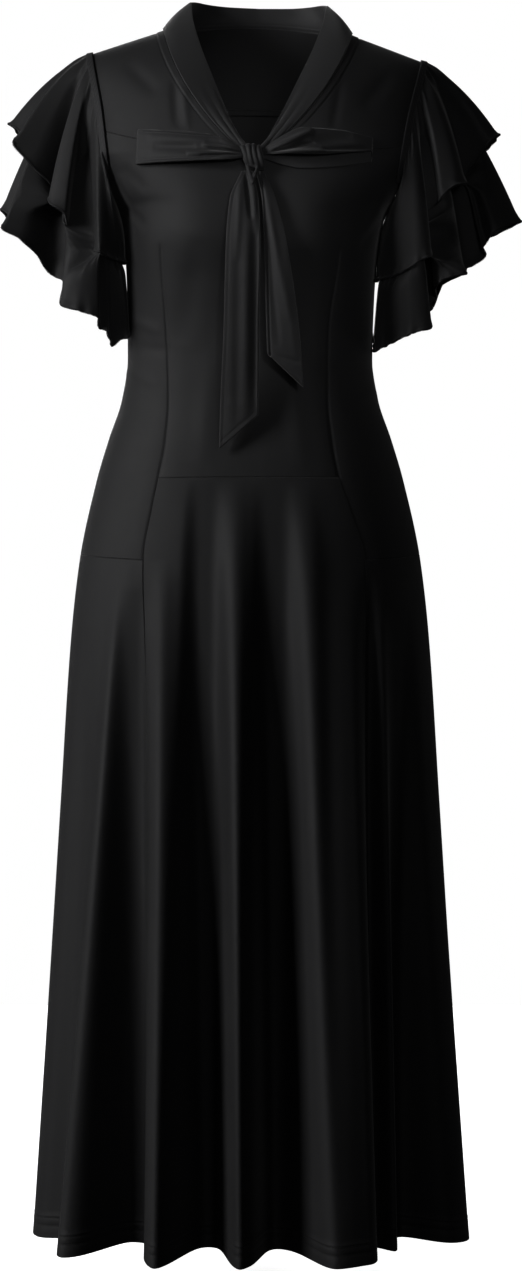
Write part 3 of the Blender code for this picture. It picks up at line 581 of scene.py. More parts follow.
# a fine plain knit in nearly black yarn, with wales, courses and a little fuzz
def jersey(name, changes=()):
    look = {**jerseyLook, **dict(changes)}
    made = bpy.data.materials.new(name)
    made.use_nodes = True
    board = NodeBoard(made.node_tree)
    shader = made.node_tree.nodes["Principled BSDF"]
    place = board.add("TexCoord", {}, {}, "Object")
    flat = board.add("UVMap", {"uv_map": "cloth"}, {}) if look["onCloth"] else place
    across = board.add("SeparateXYZ", {}, {0: flat}, "X") / look["wale"]
    down = board.add("SeparateXYZ", {}, {0: flat}, "Y" if look["onCloth"] else "Z") / look["course"]
    arm = (across.does("FRACT") - 0.5).does("ABSOLUTE")
    stitch = ((down - arm * 1.2) * (2 * math.pi)).does("COSINE")
    groove = (arm * (2 * math.pi)).does("COSINE")
    knit = stitch * 0.5 + groove * 0.5
    cloud = board.add("TexNoise", {}, {"Vector": place, "Scale": 9.0, "Detail": 5.0, "Roughness": 0.6})
    fuzz = board.add("TexNoise", {}, {"Vector": place, "Scale": look["pillScale"], "Detail": 3.0})
    shade = cloud * 0.75 + fuzz * 0.25
    colour = board.add(
        "ValToRGB",
        {"stops": [(0.35, (*look["tone"], 1)), (0.65, (*look["worn"], 1))]},
        {0: shade},
    )
    rough = board.add(
        "MapRange",
        {},
        {"Value": shade, "From Min": 0.3, "From Max": 0.7, "To Min": look["roughness"][0], "To Max": look["roughness"][1]},
    )
    height = knit + fuzz * 0.8
    bump = board.add("Bump", {}, {"Height": height, "Strength": 0.6, "Distance": look["knitDepth"]})
    links = made.node_tree.links
    links.new(colour.socket, shader.inputs["Base Color"])
    links.new(rough.socket, shader.inputs["Roughness"])
    links.new(bump.socket, shader.inputs["Normal"])
    shader.inputs["Sheen Weight"].default_value = look["sheen"]
    shader.inputs["Sheen Roughness"].default_value = look["sheenRoughness"]
    return made


# The tie's jersey, for the collar band, loops, knot and tails: its tone and worn stops sit above the dress's, partly
# the tie's own slightly lighter tone and partly painted light that makes the bow read lighter than the yoke beside it.
tieToneWithPaintedLight = {"tone": (0.0150, 0.0150, 0.0160), "worn": (0.0210, 0.0210, 0.0225)}
dressJersey = jersey("dress_jersey")
flounceJersey = jersey("flounce_jersey_cloth", {"sheen": 0.24})
tieJersey = jersey("tie_jersey_cloth", {**tieToneWithPaintedLight, "sheen": 0.40})
knotJersey = jersey("tie_jersey_knot", {**tieToneWithPaintedLight, "sheen": 0.18, "onCloth": False, "pillScale": 420.0})
thread = jersey(
    "sewing_thread",
    {"tone": (0.013, 0.013, 0.014), "worn": (0.020, 0.020, 0.022), "roughness": (0.36, 0.44), "wale": 0.0004, "course": 0.0003, "knitDepth": 0.00004, "onCloth": False},
)
overlock = jersey(
    "overlocked_edge",
    {"tone": (0.010, 0.010, 0.011), "worn": (0.021, 0.021, 0.023), "wale": 0.0060, "course": 0.0016, "knitDepth": 0.0003},
)
print("jersey made")


# Yokes
yoke = {"cloth": 0.0014, "columns": 96, "rows": 72, "foldWidth": 0.0068, "foldRise": 0.00055, "armRise": 0.0014}


neckLines = []


def distanceAlong(points, fromEnd=False):
    pieces = np.linalg.norm(np.diff(points, axis=1), axis=-1)
    total = np.concatenate([np.zeros((len(points), 1)), pieces.cumsum(axis=1)], axis=1)
    return total[:, -1:] - total if fromEnd else total


# the neck seam of the right half, and the yoke's outward normal there
def neckSeam(share):
    step, neckShare = 0.0006, figure["neckShare"]
    out = figure["neckOut"] * np.sin(np.pi / 2 * np.minimum(1, share / neckShare))
    depth, height = backTop(out)
    lower = bodyDepth(False, out, height - step) - depth
    further = backTop(out + step)
    onward = point(step, further[0] - depth, further[1] - height)
    backNormal = unit(np.cross(point(0, lower, -step), onward))
    back = point(out, depth, height)
    fall = np.clip((share - neckShare) / (1 - neckShare), 0.0, 1.0)
    out = quadratic(figure["neckOut"], figure["neckBend"][0], figure["neckEnd"][0], fall)
    top = shoulderHeight(figure["neckOut"])
    height = quadratic(top, figure["neckBend"][1], figure["neckEnd"][1], fall)
    depth = bodyDepth(True, out, height)
    below = bodyDepth(True, out, height - step)
    leanOut = (bodyDepth(True, out + step, height - step) - below) / step
    frontNormal = unit(point(leanOut, -1, (depth - below) / step))
    isBack = (share <= neckShare)[..., None]
    return np.where(isBack, back, point(out, depth, height)), np.where(isBack, backNormal, frontNormal)


def makeFrontYoke(side):
    end = figure["yokeSeamLeft"] if side < 0 else figure["yokeSeamRight"]
    u, v = np.meshgrid(graded(yoke["columns"], 0.10), graded(yoke["rows"], 0.15))
    across = 1 - u if side < 0 else u
    full = figure["shoulderRound"]
    fall = (1 - np.cos(v * full)) / (1 - math.cos(full))
    neckOut = quadratic(figure["neckOut"], figure["neckBend"][0], figure["neckEnd"][0], fall)
    top = shoulderHeight(figure["neckOut"])
    neckHeight = quadratic(top, figure["neckBend"][1], figure["neckEnd"][1], fall)
    armHeight = mix(armholes[0].height, end, fall)
    out = mix(neckOut, along(armholes, "out", armHeight), across)
    straight = mix(neckHeight, armHeight, across)
    height = straight + (yokeSeamHeight(side, out) - mix(figure["neckEnd"][1], end, across)) * fall
    points = creased(True, side * out, bodyDepth(True, out, height), height)
    fromNeck = distanceAlong(points, fromEnd=side < 0)
    rise = yoke["foldRise"] * (1 - ease((fromNeck - yoke["foldWidth"]) / 0.0018))
    rise = rise - 0.0006 * bell((fromNeck - yoke["foldWidth"] - 0.0012) / 0.0009)
    fromArm = distanceAlong(points, fromEnd=side > 0)
    rise = rise + yoke["armRise"] * (1 - ease(fromArm / 0.007))
    points = points + normalsOf(points) * rise[..., None]
    line = np.argmin(np.abs(fromNeck - yoke["foldWidth"] - 0.0012), axis=1)
    neckLines.append((points[np.arange(len(points)), line], normalsOf(points)[np.arange(len(points)), line]))
    name = "front_yoke_left" if side < 0 else "front_yoke_right"
    piece = clothWall(name + "_cloth", points, yoke["cloth"], dressJersey, first=np.array([0, 0, 1.0]))
    sewn(piece, name)


def makeBackYoke():
    neckShare = figure["neckOut"] / armholes[0].out
    half = np.concatenate([neckShare * steps(48)[:-1], mix(neckShare, 1.0, graded(26, 0.08))])
    u = np.concatenate([(1 - half[::-1]) / 2, (1 + half[1:]) / 2])
    u, v = np.meshgrid(1 - u, graded(48, 0.1))
    full = figure["shoulderRound"]
    fall = (1 - np.cos(v * full)) / (1 - math.cos(full))
    edge = mix(armholes[0].height, figure["backYokeSide"], fall)
    out = (2 * u - 1) * along(armholes, "out", edge)
    height = mix(backTop(out)[1], backYokeHeight(np.abs(out)), fall)
    depth = np.maximum(bodyDepth(False, out, height), figure["shoulderBack"] + 2 * figure["seamGap"])
    points = creased(False, out, depth, height)
    edgeOut = np.abs(out[0])
    share = figure["neckShare"] * np.arcsin(np.minimum(1.0, edgeOut / figure["neckOut"])) / (np.pi / 2)
    atNeck = neckSeam(share)[1] * point(np.sign(out[0]), 1, 1)
    first = unit(mix(point(0, 0, 1.0), atNeck, ease((figure["neckOut"] - edgeOut) / 0.010)[:, None]))
    piece = clothWall("back_yoke_cloth", points, yoke["cloth"], dressJersey, first=first)
    sewn(piece, "back_yoke")


for side in (-1, 1):
    makeFrontYoke(side)
makeBackYoke()
print("yokes made")

# Bodice
bodice = {
    "cloth": 0.0014,
    "dartTip": -0.227,
    "dartPinch": 0.0020,
    "rows": 112,
    "lobeRows": 28,
    "bodyShare": 0.8,
    "zoneColumns": (40, 58, 40),
}


def makeBodiceFront():
    def angleAt(zoneShare, height):
        marks = [0 * height, seamAngle(-1, height), seamAngle(1, height), 180 + 0 * height]
        zone = np.minimum(2, zoneShare.astype(int))
        low = np.choose(zone, marks[:3])
        high = np.choose(zone, marks[1:])
        return mix(low, high, zoneShare - zone)

    body = bodice["bodyShare"]
    columns = [zone + share for zone, count in enumerate(bodice["zoneColumns"]) for share in graded(count, 0.1, (0.0008, 0.0018))[:-1]]
    rows = np.concatenate([body * graded(bodice["rows"], 0.35)[:-1], mix(body, 1.0, graded(bodice["lobeRows"], 0.08))])
    zoneShare, v = np.meshgrid(np.array(columns + [3.0]), rows)
    upper = np.minimum(1.0, v / body)
    height = mix(figure["yokeSeamMiddle"], figure["waistSeam"], upper)
    for _ in range(4):
        height = mix(bodiceTop(angleAt(zoneShare, height)), figure["waistSeam"], upper)
    lower = np.maximum(0.0, (v - body) / (1 - body))
    guess = mix(figure["waistSeam"], figure["hipAtFront"], lower)
    lobe = mix(figure["waistSeam"], hipHeight(angleAt(zoneShare, guess)), lower)
    height = np.where(v > body, lobe, height)
    points = dress(angleAt(zoneShare, height), height)
    dart = np.where(zoneShare < 1.5, zoneShare - 1, zoneShare - 2)
    fromDart = np.abs(dart) * 0.09
    sewnIn = ease((bodice["dartTip"] - height) / 0.012)
    pinch = -0.0011 * bell(fromDart / 0.0011) - 0.0007 * bell(fromDart / 0.006)
    points = points + normalsOf(points) * (pinch * sewnIn)[..., None]
    inMiddle = (zoneShare[:-1, :-1] >= 1 - 1e-6) & (zoneShare[:-1, :-1] < 2 - 1e-6)
    keep = ~(inMiddle & (v[:-1, :-1] >= body - 1e-9))
    piece = clothWall("bodice_front_cloth", points, bodice["cloth"], dressJersey, keep=keep)
    sewn(piece, "bodice_front")


def makeBodiceBack():
    gap = math.degrees(figure["seamGap"] / sections[0].halfWidth)
    u, v = np.meshgrid(graded(92, 0.33), graded(104, 0.47))
    angle = mix(180 + gap, 360 - gap, u)
    top, bottom = bodiceTop(angle), hipHeight(angle)
    upper = mix(top, figure["underarm"], v / 0.3)
    height = np.where(v < 0.3, upper, mix(figure["underarm"], bottom, (v - 0.3) / 0.7))
    piece = clothWall("bodice_back_cloth", dress(angle, height), bodice["cloth"], dressJersey)
    sewn(piece, "bodice_back")


makeBodiceFront()
makeBodiceBack()
print("bodice made")

# Skirt
skirt = {
    "cloth": 0.0014,
    "waistRows": 26,
    "rows": 122,
    "waistShare": 0.14,
    "hemRows": (0.0125, 0.0205),
    "hemDepth": 0.0230,
    "hemSwell": 0.0003,
    "stitchSink": 0.00035,
}


# rows from a seam down to the hem, with close ones at the hem's two rows of stitches
def rowsToHem(count, length):
    marks = [row + step for row in (*skirt["hemRows"], skirt["hemDepth"]) for step in (-0.0011, 0.0, 0.0011)]
    rows = graded(count, length)
    marks = [1 - mark / length for mark in marks]
    return np.array(sorted([row for row in rows if row == 1 or min(abs(row - mark) for mark in marks) > 0.0007] + marks))


# sinks the two rows of stitches in, and gives how much the turned-up hem thickens the cloth
def hemmed(points):
    toHem = np.linalg.norm(np.diff(points, axis=0), axis=-1)[::-1].cumsum(axis=0)[::-1]
    toHem = np.concatenate([toHem, np.zeros((1, toHem.shape[1]))])
    sink = sum(skirt["stitchSink"] * bell((toHem - row) / 0.0009) for row in skirt["hemRows"])
    swell = skirt["hemSwell"] * (1 - ease((toHem - skirt["hemDepth"]) / 0.0012))
    return points - normalsOf(points) * sink[..., None], swell


def makeSkirtCentre():
    share = skirt["waistShare"]
    rows = np.concatenate([share * graded(skirt["waistRows"], 0.08)[:-1], mix(share, 1.0, rowsToHem(skirt["rows"], 0.7))])
    u, v = np.meshgrid(graded(144, 0.22), rows)
    upper = mix(figure["waistSeam"] - figure["seamGap"], figure["hipAtFront"], v / share)
    low = np.maximum(0.0, (v - share) / (1 - share))
    height = np.where(v <= share, upper, mix(figure["hipAtFront"], figure["hem"], low))
    gap = np.degrees(figure["seamGap"] / along(sections, "front", height))
    angle = mix(seamAngle(-1, height) + gap, seamAngle(1, height) - gap, u)
    height = np.where(v <= share, upper, mix(figure["hipAtFront"], hemHeight(angle), low))
    points, swell = hemmed(dress(angle, height))
    piece = clothWall("skirt_front_centre_cloth", points, skirt["cloth"], dressJersey, swell=swell)
    sewn(piece, "skirt_front_centre")


def makeSkirtSide(side):
    u, v = np.meshgrid(graded(84, 0.1), rowsToHem(skirt["rows"], 0.7))
    edge = seamAngle(side, mix(figure["hipAtFront"], figure["hem"], v))
    angle = mix(0, edge, u) if side < 0 else mix(edge, 180, u)
    points = dress(angle, mix(hipHeight(angle) - figure["seamGap"], hemHeight(angle), v))
    name = "skirt_front_left" if side < 0 else "skirt_front_right"
    points, swell = hemmed(points)
    piece = clothWall(name + "_cloth", points, skirt["cloth"], dressJersey, swell=swell)
    sewn(piece, name)


def makeSkirtBack():
    gap = math.degrees(figure["seamGap"] / sections[0].halfWidth)
    u, v = np.meshgrid(graded(190, 0.5), rowsToHem(88, 0.7))
    angle = mix(180 + gap, 360 - gap, u)
    points = dress(angle, mix(hipHeight(angle) - figure["seamGap"], hemHeight(angle), v))
    points, swell = hemmed(points)
    piece = clothWall("skirt_back_cloth", points, skirt["cloth"], dressJersey, swell=swell)
    sewn(piece, "skirt_back")


makeSkirtCentre()
for side in (-1, 1):
    makeSkirtSide(side)
makeSkirtBack()
print("skirt made")

# Sleeves: two gathered flounces each. Angles run from 0 at the shoulder over 90 at the front
# to 180 at the underarm and on over the back, and each row is a place of a flounce's hem.
HemPlace = namedtuple("HemPlace", "angle out depth height")
hems = {
    "upper_left": [
        HemPlace(2, 0.2476, 0.000, -0.0957),
        HemPlace(8, 0.2361, -0.015, -0.1071),
        HemPlace(14, 0.2405, -0.031, -0.1204),
        HemPlace(21, 0.2216, -0.030, -0.1426),
        HemPlace(29, 0.1975, -0.014, -0.1690),
        HemPlace(36, 0.2047, -0.060, -0.1817),
        HemPlace(45, 0.1868, -0.070, -0.1969),
        HemPlace(53, 0.1823, -0.046, -0.2110),
        HemPlace(63, 0.1672, -0.030, -0.2268),
        HemPlace(80, 0.1533, -0.066, -0.2353),
        HemPlace(98, 0.1400, -0.052, -0.2406),
        HemPlace(115, 0.1340, -0.043, -0.2420),
        HemPlace(135, 0.1310, -0.040, -0.2430),
        HemPlace(150, 0.1312, -0.032, -0.2420),
        HemPlace(165, 0.1330, -0.018, -0.2410),
        HemPlace(180, 0.1345, 0.002, -0.2400),
        HemPlace(200, 0.1325, 0.030, -0.2300),
        HemPlace(222, 0.1480, 0.050, -0.2220),
        HemPlace(242, 0.1620, 0.068, -0.2140),
        HemPlace(260, 0.1760, 0.050, -0.2020),
        HemPlace(278, 0.1960, 0.064, -0.1860),
        HemPlace(294, 0.2030, 0.040, -0.1660),
        HemPlace(310, 0.2220, 0.046, -0.1480),
        HemPlace(325, 0.2240, 0.024, -0.1270),
        HemPlace(340, 0.2400, 0.024, -0.1090),
        HemPlace(352, 0.2390, 0.010, -0.1040),
    ],
    "lower_left": [
        HemPlace(2, 0.2580, 0.000, -0.1841),
        HemPlace(7, 0.2489, -0.012, -0.1926),
        HemPlace(13, 0.2549, -0.030, -0.2061),
        HemPlace(19, 0.2371, -0.028, -0.2168),
        HemPlace(25, 0.2195, -0.016, -0.2324),
        HemPlace(30, 0.2115, -0.006, -0.2453),
        HemPlace(36, 0.2040, -0.002, -0.2530),
        HemPlace(43, 0.1930, -0.010, -0.2590),
        HemPlace(51, 0.1934, -0.062, -0.2871),
        HemPlace(62, 0.1736, -0.070, -0.2949),
        HemPlace(78, 0.1534, -0.064, -0.3027),
        HemPlace(88, 0.1550, -0.048, -0.3100),
        HemPlace(100, 0.1470, -0.047, -0.3140),
        HemPlace(113, 0.1415, -0.038, -0.3285),
        HemPlace(122, 0.1325, -0.037, -0.3210),
        HemPlace(132, 0.1262, -0.038, -0.3200),
        HemPlace(146, 0.1246, -0.036, -0.3160),
        HemPlace(161, 0.1266, -0.024, -0.3150),
        HemPlace(180, 0.1305, 0.004, -0.3130),
        HemPlace(200, 0.1290, 0.028, -0.3060),
        HemPlace(218, 0.1390, 0.060, -0.3100),
        HemPlace(236, 0.1560, 0.075, -0.3000),
        HemPlace(252, 0.1650, 0.052, -0.2860),
        HemPlace(270, 0.1870, 0.072, -0.2720),
        HemPlace(287, 0.1950, 0.046, -0.2500),
        HemPlace(303, 0.2170, 0.060, -0.2340),
        HemPlace(318, 0.2210, 0.034, -0.2140),
        HemPlace(332, 0.2410, 0.038, -0.2000),
        HemPlace(344, 0.2420, 0.018, -0.1860),
        HemPlace(354, 0.2530, 0.014, -0.1900),
    ],
    "upper_right": [
        HemPlace(2, 0.2558, 0.000, -0.1071),
        HemPlace(9, 0.2458, -0.012, -0.1157),
        HemPlace(18, 0.2339, -0.010, -0.1345),
        HemPlace(26, 0.2200, -0.006, -0.1500),
        HemPlace(33, 0.2189, -0.050, -0.1629),
        HemPlace(40, 0.2090, -0.060, -0.1660),
        HemPlace(50, 0.1950, -0.062, -0.1770),
        HemPlace(59, 0.1862, -0.034, -0.1880),
        HemPlace(68, 0.1810, -0.016, -0.2080),
        HemPlace(76, 0.1855, -0.060, -0.2368),
        HemPlace(86, 0.1740, -0.069, -0.2435),
        HemPlace(98, 0.1610, -0.064, -0.2520),
        HemPlace(115, 0.1460, -0.050, -0.2584),
        HemPlace(135, 0.1330, -0.038, -0.2605),
        HemPlace(150, 0.1325, -0.031, -0.2610),
        HemPlace(165, 0.1335, -0.018, -0.2600),
        HemPlace(180, 0.1345, 0.002, -0.2580),
        HemPlace(200, 0.1335, 0.028, -0.2480),
        HemPlace(222, 0.1500, 0.050, -0.2400),
        HemPlace(242, 0.1660, 0.067, -0.2300),
        HemPlace(260, 0.1800, 0.047, -0.2160),
        HemPlace(280, 0.2010, 0.060, -0.1960),
        HemPlace(297, 0.2080, 0.038, -0.1740),
        HemPlace(314, 0.2280, 0.044, -0.1520),
        HemPlace(330, 0.2320, 0.022, -0.1320),
        HemPlace(347, 0.2470, 0.016, -0.1180),
    ],
    "lower_right": [
        HemPlace(2, 0.2808, 0.000, -0.1966),
        HemPlace(9, 0.2643, -0.016, -0.2022),
        HemPlace(15, 0.2525, -0.022, -0.2091),
        HemPlace(21, 0.2431, -0.012, -0.2196),
        HemPlace(26, 0.2402, -0.016, -0.2265),
        HemPlace(31, 0.2429, -0.006, -0.2327),
        HemPlace(37, 0.2333, -0.004, -0.2414),
        HemPlace(43, 0.2215, -0.008, -0.2470),
        HemPlace(50, 0.2218, -0.052, -0.2555),
        HemPlace(57, 0.2113, -0.060, -0.2581),
        HemPlace(66, 0.1968, -0.060, -0.2624),
        HemPlace(73, 0.1895, -0.034, -0.2700),
        HemPlace(79, 0.1925, -0.014, -0.2773),
        HemPlace(86, 0.1835, -0.012, -0.2840),
        HemPlace(95, 0.1867, -0.056, -0.3103),
        HemPlace(105, 0.1711, -0.064, -0.3158),
        HemPlace(117, 0.1558, -0.060, -0.3218),
        HemPlace(132, 0.1400, -0.045, -0.3290),
        HemPlace(146, 0.1290, -0.038, -0.3341),
        HemPlace(158, 0.1282, -0.028, -0.3330),
        HemPlace(170, 0.1290, -0.015, -0.3320),
        HemPlace(182, 0.1305, 0.004, -0.3300),
        HemPlace(200, 0.1290, 0.028, -0.3180),
        HemPlace(219, 0.1410, 0.058, -0.3180),
        HemPlace(238, 0.1610, 0.074, -0.3090),
        HemPlace(254, 0.1700, 0.050, -0.2940),
        HemPlace(273, 0.1930, 0.070, -0.2800),
        HemPlace(289, 0.2020, 0.044, -0.2580),
        HemPlace(306, 0.2270, 0.058, -0.2420),
        HemPlace(320, 0.2320, 0.034, -0.2220),
        HemPlace(335, 0.2550, 0.038, -0.2070),
        HemPlace(347, 0.2600, 0.016, -0.2060),
    ],
}
flounce = {
    "columns": 272,
    "cloth": 0.0012,
    "rolledEdge": 0.0009,
    "puffLeft": 0.013,
    "puffRight": 0.012,
    "smoothing": 20.0,
    "foldPower": 1.08,
    "gathers": 0.0010,
    "lettuce": 0.0009,
    "flare": 0.0011,
    "clearance": 0.0032,
    "inFrontLeft": 0.0072,
    "inFrontRight": 0.0045,
}


# a point of the armhole seam and the cloth's outward normal there
def armhole(side, angle):
    turn = np.radians(angle)
    height = mix(figure["underarm"], armholes[0].height, (1 + np.cos(turn)) / 2)
    front = np.sin(turn) > 0
    out = along(armholes, "out", height)
    step = 0.0005
    inside, low = out - step, np.maximum(height, figure["underarm"] + step)
    depth = bodyDepth(front, out, height)
    here = bodyDepth(front, inside, low)
    leanOut = (here - bodyDepth(front, inside - step, low)) / step
    leanUp = (here - bodyDepth(front, inside, low - step)) / step
    sign = np.where(front, -1.0, 1.0)
    return leaning(side * out, depth, height), unit(point(-sign * leanOut * side, sign, -sign * leanUp))


# where a lower flounce starts and which way its face looks there: out like the dress at the
# shoulder, and towards the dress at the underarm, where it hangs over the bodice's side
def sleeveStart(side, angle):
    seam, normal = armhole(side, angle)
    under = ease((np.abs((angle + 180) % 360 - 180) - 95) / 55)[..., None]
    front = point(0, -np.where(np.sin(np.radians(angle)) < 0, -1.0, 1.0), 0)
    looks = unit(normal * (1 - 2 * under) + front * 2 * np.sqrt(under * (1 - under)))
    clear = under * (2 * figure["seamGap"] + flounce["cloth"]) + 0.006 * under * (1 - under)
    return seam + normal * clear, looks, 1 - under


# a hem's column at angles, all round, and the same without its folds
def ringAlong(table, column, angle):
    rows = [row._replace(angle=row.angle + turn) for turn in (-360, 0, 360) for row in table]
    return along(rows, column, angle % 360)


def withoutFolds(table, column, angle):
    ring = np.arange(0.0, 360.0, 0.5)
    apart = (ring + 180) % 360 - 180
    weights = np.exp(-((apart / flounce["smoothing"]) ** 2))
    values = ringAlong(table, column, ring)
    smooth = np.fft.ifft(np.fft.fft(values) * np.fft.fft(weights / weights.sum())).real
    return np.interp(angle % 360, np.append(ring, 360.0), np.append(smooth, smooth[0]))


def flouncePoints(side, isUpper, angle, down):
    table = hems[("upper" if isUpper else "lower") + ("_left" if side < 0 else "_right")]
    columns = ("out", "depth", "height")
    out, depth, height = (ringAlong(table, column, angle) for column in columns)
    hem = point(side * out, depth, height)
    out, depth, height = (withoutFolds(table, column, angle) for column in columns)
    softHem = point(side * out, depth, height)
    turn = np.radians(angle)
    seam, looks, beside = sleeveStart(side, angle)
    topShare = (1 + np.cos(turn)) / 2
    puff = flounce["puffLeft" if side < 0 else "puffRight"] * topShare * (0.7 if isUpper else 1.0)
    inwards = 0.004 * (1 - topShare) ** 2 + flounce["inFrontLeft" if side < 0 else "inFrontRight"] * bell((angle % 360 - 138) / 24)
    bulge = puff * topShare - inwards
    bend = mix(seam, softHem, 0.42) + point(side * bulge, -0.012 * np.sin(turn), 0.85 * puff)
    start = seam + unit(bend - seam) * 2 * figure["seamGap"] * beside
    share = down[..., None]
    points = quadratic(start, bend, softHem, share)
    points = points + (hem - softHem) * share ** flounce["foldPower"]
    away = unit(point(side * np.cos(turn), -np.sin(turn), 0.35 * np.maximum(0.0, np.cos(turn))))
    if isUpper:
        lift = flounce["cloth"] + figure["seamGap"] * (1.5 + 3 * ease(4 * down))
        points = points + unit(mix(looks, away, ease(3 * down)[..., None])) * lift[..., None]
    ripple = np.sin(np.radians(angle * 31)) + 0.7 * np.sin(np.radians(angle * 43 + 40))
    ripple = ripple * flounce["gathers"] * bell((down - 0.09) / 0.10) * topShare
    wave = np.sin(np.radians(angle * 37)) + 0.6 * np.sin(np.radians(angle * 53 + 75))
    ripple = ripple + (flounce["flare"] + flounce["lettuce"] * wave) * ease((down - 0.93) / 0.07) ** 2
    return points + away * ripple[..., None]


# moves the lower flounce in where it would meet the upper one that hangs over it
def tuckUnder(lower, upper):
    faces = np.arange(upper.shape[0] * upper.shape[1]).reshape(upper.shape[:2])
    quads = np.stack([faces[:-1, :-1], faces[1:, :-1], faces[1:, 1:], faces[:-1, 1:]], -1).reshape(-1, 4)
    tree = BVHTree.FromPolygons(upper.reshape(-1, 3).tolist(), quads.tolist())
    moved = lower.copy()
    need = flounce["cloth"] + flounce["clearance"]
    for _ in range(3):
        shift = np.zeros_like(moved)
        for row, col in np.ndindex(*moved.shape[:2]):
            found, normal, _, _ = tree.find_nearest(Vector(moved[row, col]), 0.03)
            if found is None or row == 0:
                continue
            inside = (found - Vector(moved[row, col])).dot(normal)
            across = (found - Vector(moved[row, col])).length
            if inside < need and across < abs(inside) + 0.002:
                shift[row, col] = -np.array(normal) * (need - inside)
        for _ in range(4):
            near = np.roll(shift, 1, 1) + np.roll(shift, -1, 1)
            updown = np.pad(shift, ((1, 1), (0, 0), (0, 0)), mode="edge")
            shift = shift * 0.5 + (near + updown[2:] + updown[:-2]) * 0.125
        moved += shift
    return moved


hemLines = {}


def flounceGrid(side, isUpper):
    rows = graded(36, 0.12, (0.0007, 0.0014, 0.0022, 0.0032))
    u, v = np.meshgrid(steps(flounce["columns"]), rows)
    return flouncePoints(side, isUpper, -side * 360 * u, v)


def makeFlounce(side, isUpper, points):
    toHem = np.linalg.norm(np.diff(points, axis=0), axis=-1)[::-1].cumsum(axis=0)[::-1]
    toHem = np.concatenate([toHem, np.zeros((1, toHem.shape[1]))])
    swell = flounce["rolledEdge"] * bell(np.maximum(0, toHem - 0.0006) / 0.0009)
    first = sleeveStart(side, -side * 360 * steps(flounce["columns"]))[1]
    part = "upper" if isUpper else "lower"
    word = "left" if side < 0 else "right"
    name = f"sleeve_{part}_flounce_{word}"
    piece = clothWall(name + "_cloth", points, flounce["cloth"], flounceJersey, closed=True, first=first, swell=swell)
    edge = np.stack([points[-1], normalsOf(points, closed=True)[-1]])
    hemLines[f"{part}_rolled_edge_{word}"] = edge[0] - edge[1] * flounce["cloth"] / 2, edge[1]
    sewn(piece, name)


for side in (-1, 1):
    upper = flounceGrid(side, True)
    makeFlounce(side, True, upper)
    makeFlounce(side, False, tuckUnder(flounceGrid(side, False), upper))
print("sleeves made")

# Collar
CollarEdge = namedtuple("CollarEdge", "share out depth height")
collarEdges = [
    CollarEdge(0.00, 0.000, 0.066, 0.036),
    CollarEdge(0.12, 0.034, 0.060, 0.036),
    CollarEdge(0.24, 0.060, 0.041, 0.0355),
    CollarEdge(0.36, 0.070, 0.014, 0.031),
    CollarEdge(0.48, 0.068, -0.0135, 0.012),
    CollarEdge(0.60, 0.059, -0.0425, -0.020),
    CollarEdge(0.74, 0.044, -0.0690, -0.058),
    CollarEdge(0.88, 0.027, -0.0915, -0.097),
    CollarEdge(1.00, 0.013, -0.1035, -0.125),
]
collar = {
    "cloth": 0.0022,
    "round": 0.003,
    "bandShare": 0.90,
    "bandEnd": 0.985,
    "pinch": (0.0040, -0.1125, -0.1395),
    "pinchWidth": 0.0080,
    "pleats": 2.6,
    "pleatDepth": 0.0010,
}


# The band runs round the neck seam, and its ends are drawn together into the knot.
def makeCollar():
    u, v = np.meshgrid(1 - steps(300), graded(24, 0.035))
    side, run = np.where(u > 0.5, 1, -1), np.abs(2 * u - 1)
    share = collar["bandEnd"] * np.minimum(1.0, run / collar["bandShare"])
    drawn = ease((run - collar["bandShare"] + 0.02) / (1.02 - collar["bandShare"]))
    seam, normal = neckSeam(share)
    edge = point(*(along(collarEdges, column, share) for column in ("out", "depth", "height")))
    start = seam + unit(edge - seam) * figure["seamGap"]
    full = collar["round"] * np.sin(np.pi * v) * (1 - 0.5 * share)
    points = mix(start, edge, v[..., None]) + normal * full[..., None]
    end = point(collar["pinch"][0], collar["pinch"][1], collar["pinch"][2] + (v - 0.45) * collar["pinchWidth"])
    points = mix(points, end, drawn[..., None])
    points = leaning(side * points[..., 0], points[..., 1], points[..., 2])
    pleats = np.sin(2 * np.pi * (collar["pleats"] * v + 0.1 * side)) * collar["pleatDepth"]
    pleats = pleats * ease((run - 0.62) / 0.3) * np.minimum(1.0, 6 * v)
    ridge = 0.0005 * bell((v - 0.16) / 0.03) - 0.0004 * bell((v - 0.22) / 0.03)
    points = points + normalsOf(points) * (pleats + ridge * (1 - ease(2 * share)))[..., None]
    first = point(side[0] * normal[0][..., 0], normal[0][..., 1], normal[0][..., 2])
    first = unit(mix(first, normalsOf(points)[0], drawn[0][:, None]))
    piece = clothWall("collar_band_cloth", points, collar["cloth"], tieJersey, first=first)
    row, back = 5, np.abs(2 * u[0] - 1) < 0.40
    inner = points[row, back] - normalsOf(points)[row, back] * (collar["cloth"] + 0.0001)
    insideLines.append((inner, -normalsOf(points)[row, back]))
    sewn(piece, "collar_band")


insideLines = []
makeCollar()
print("collar made")

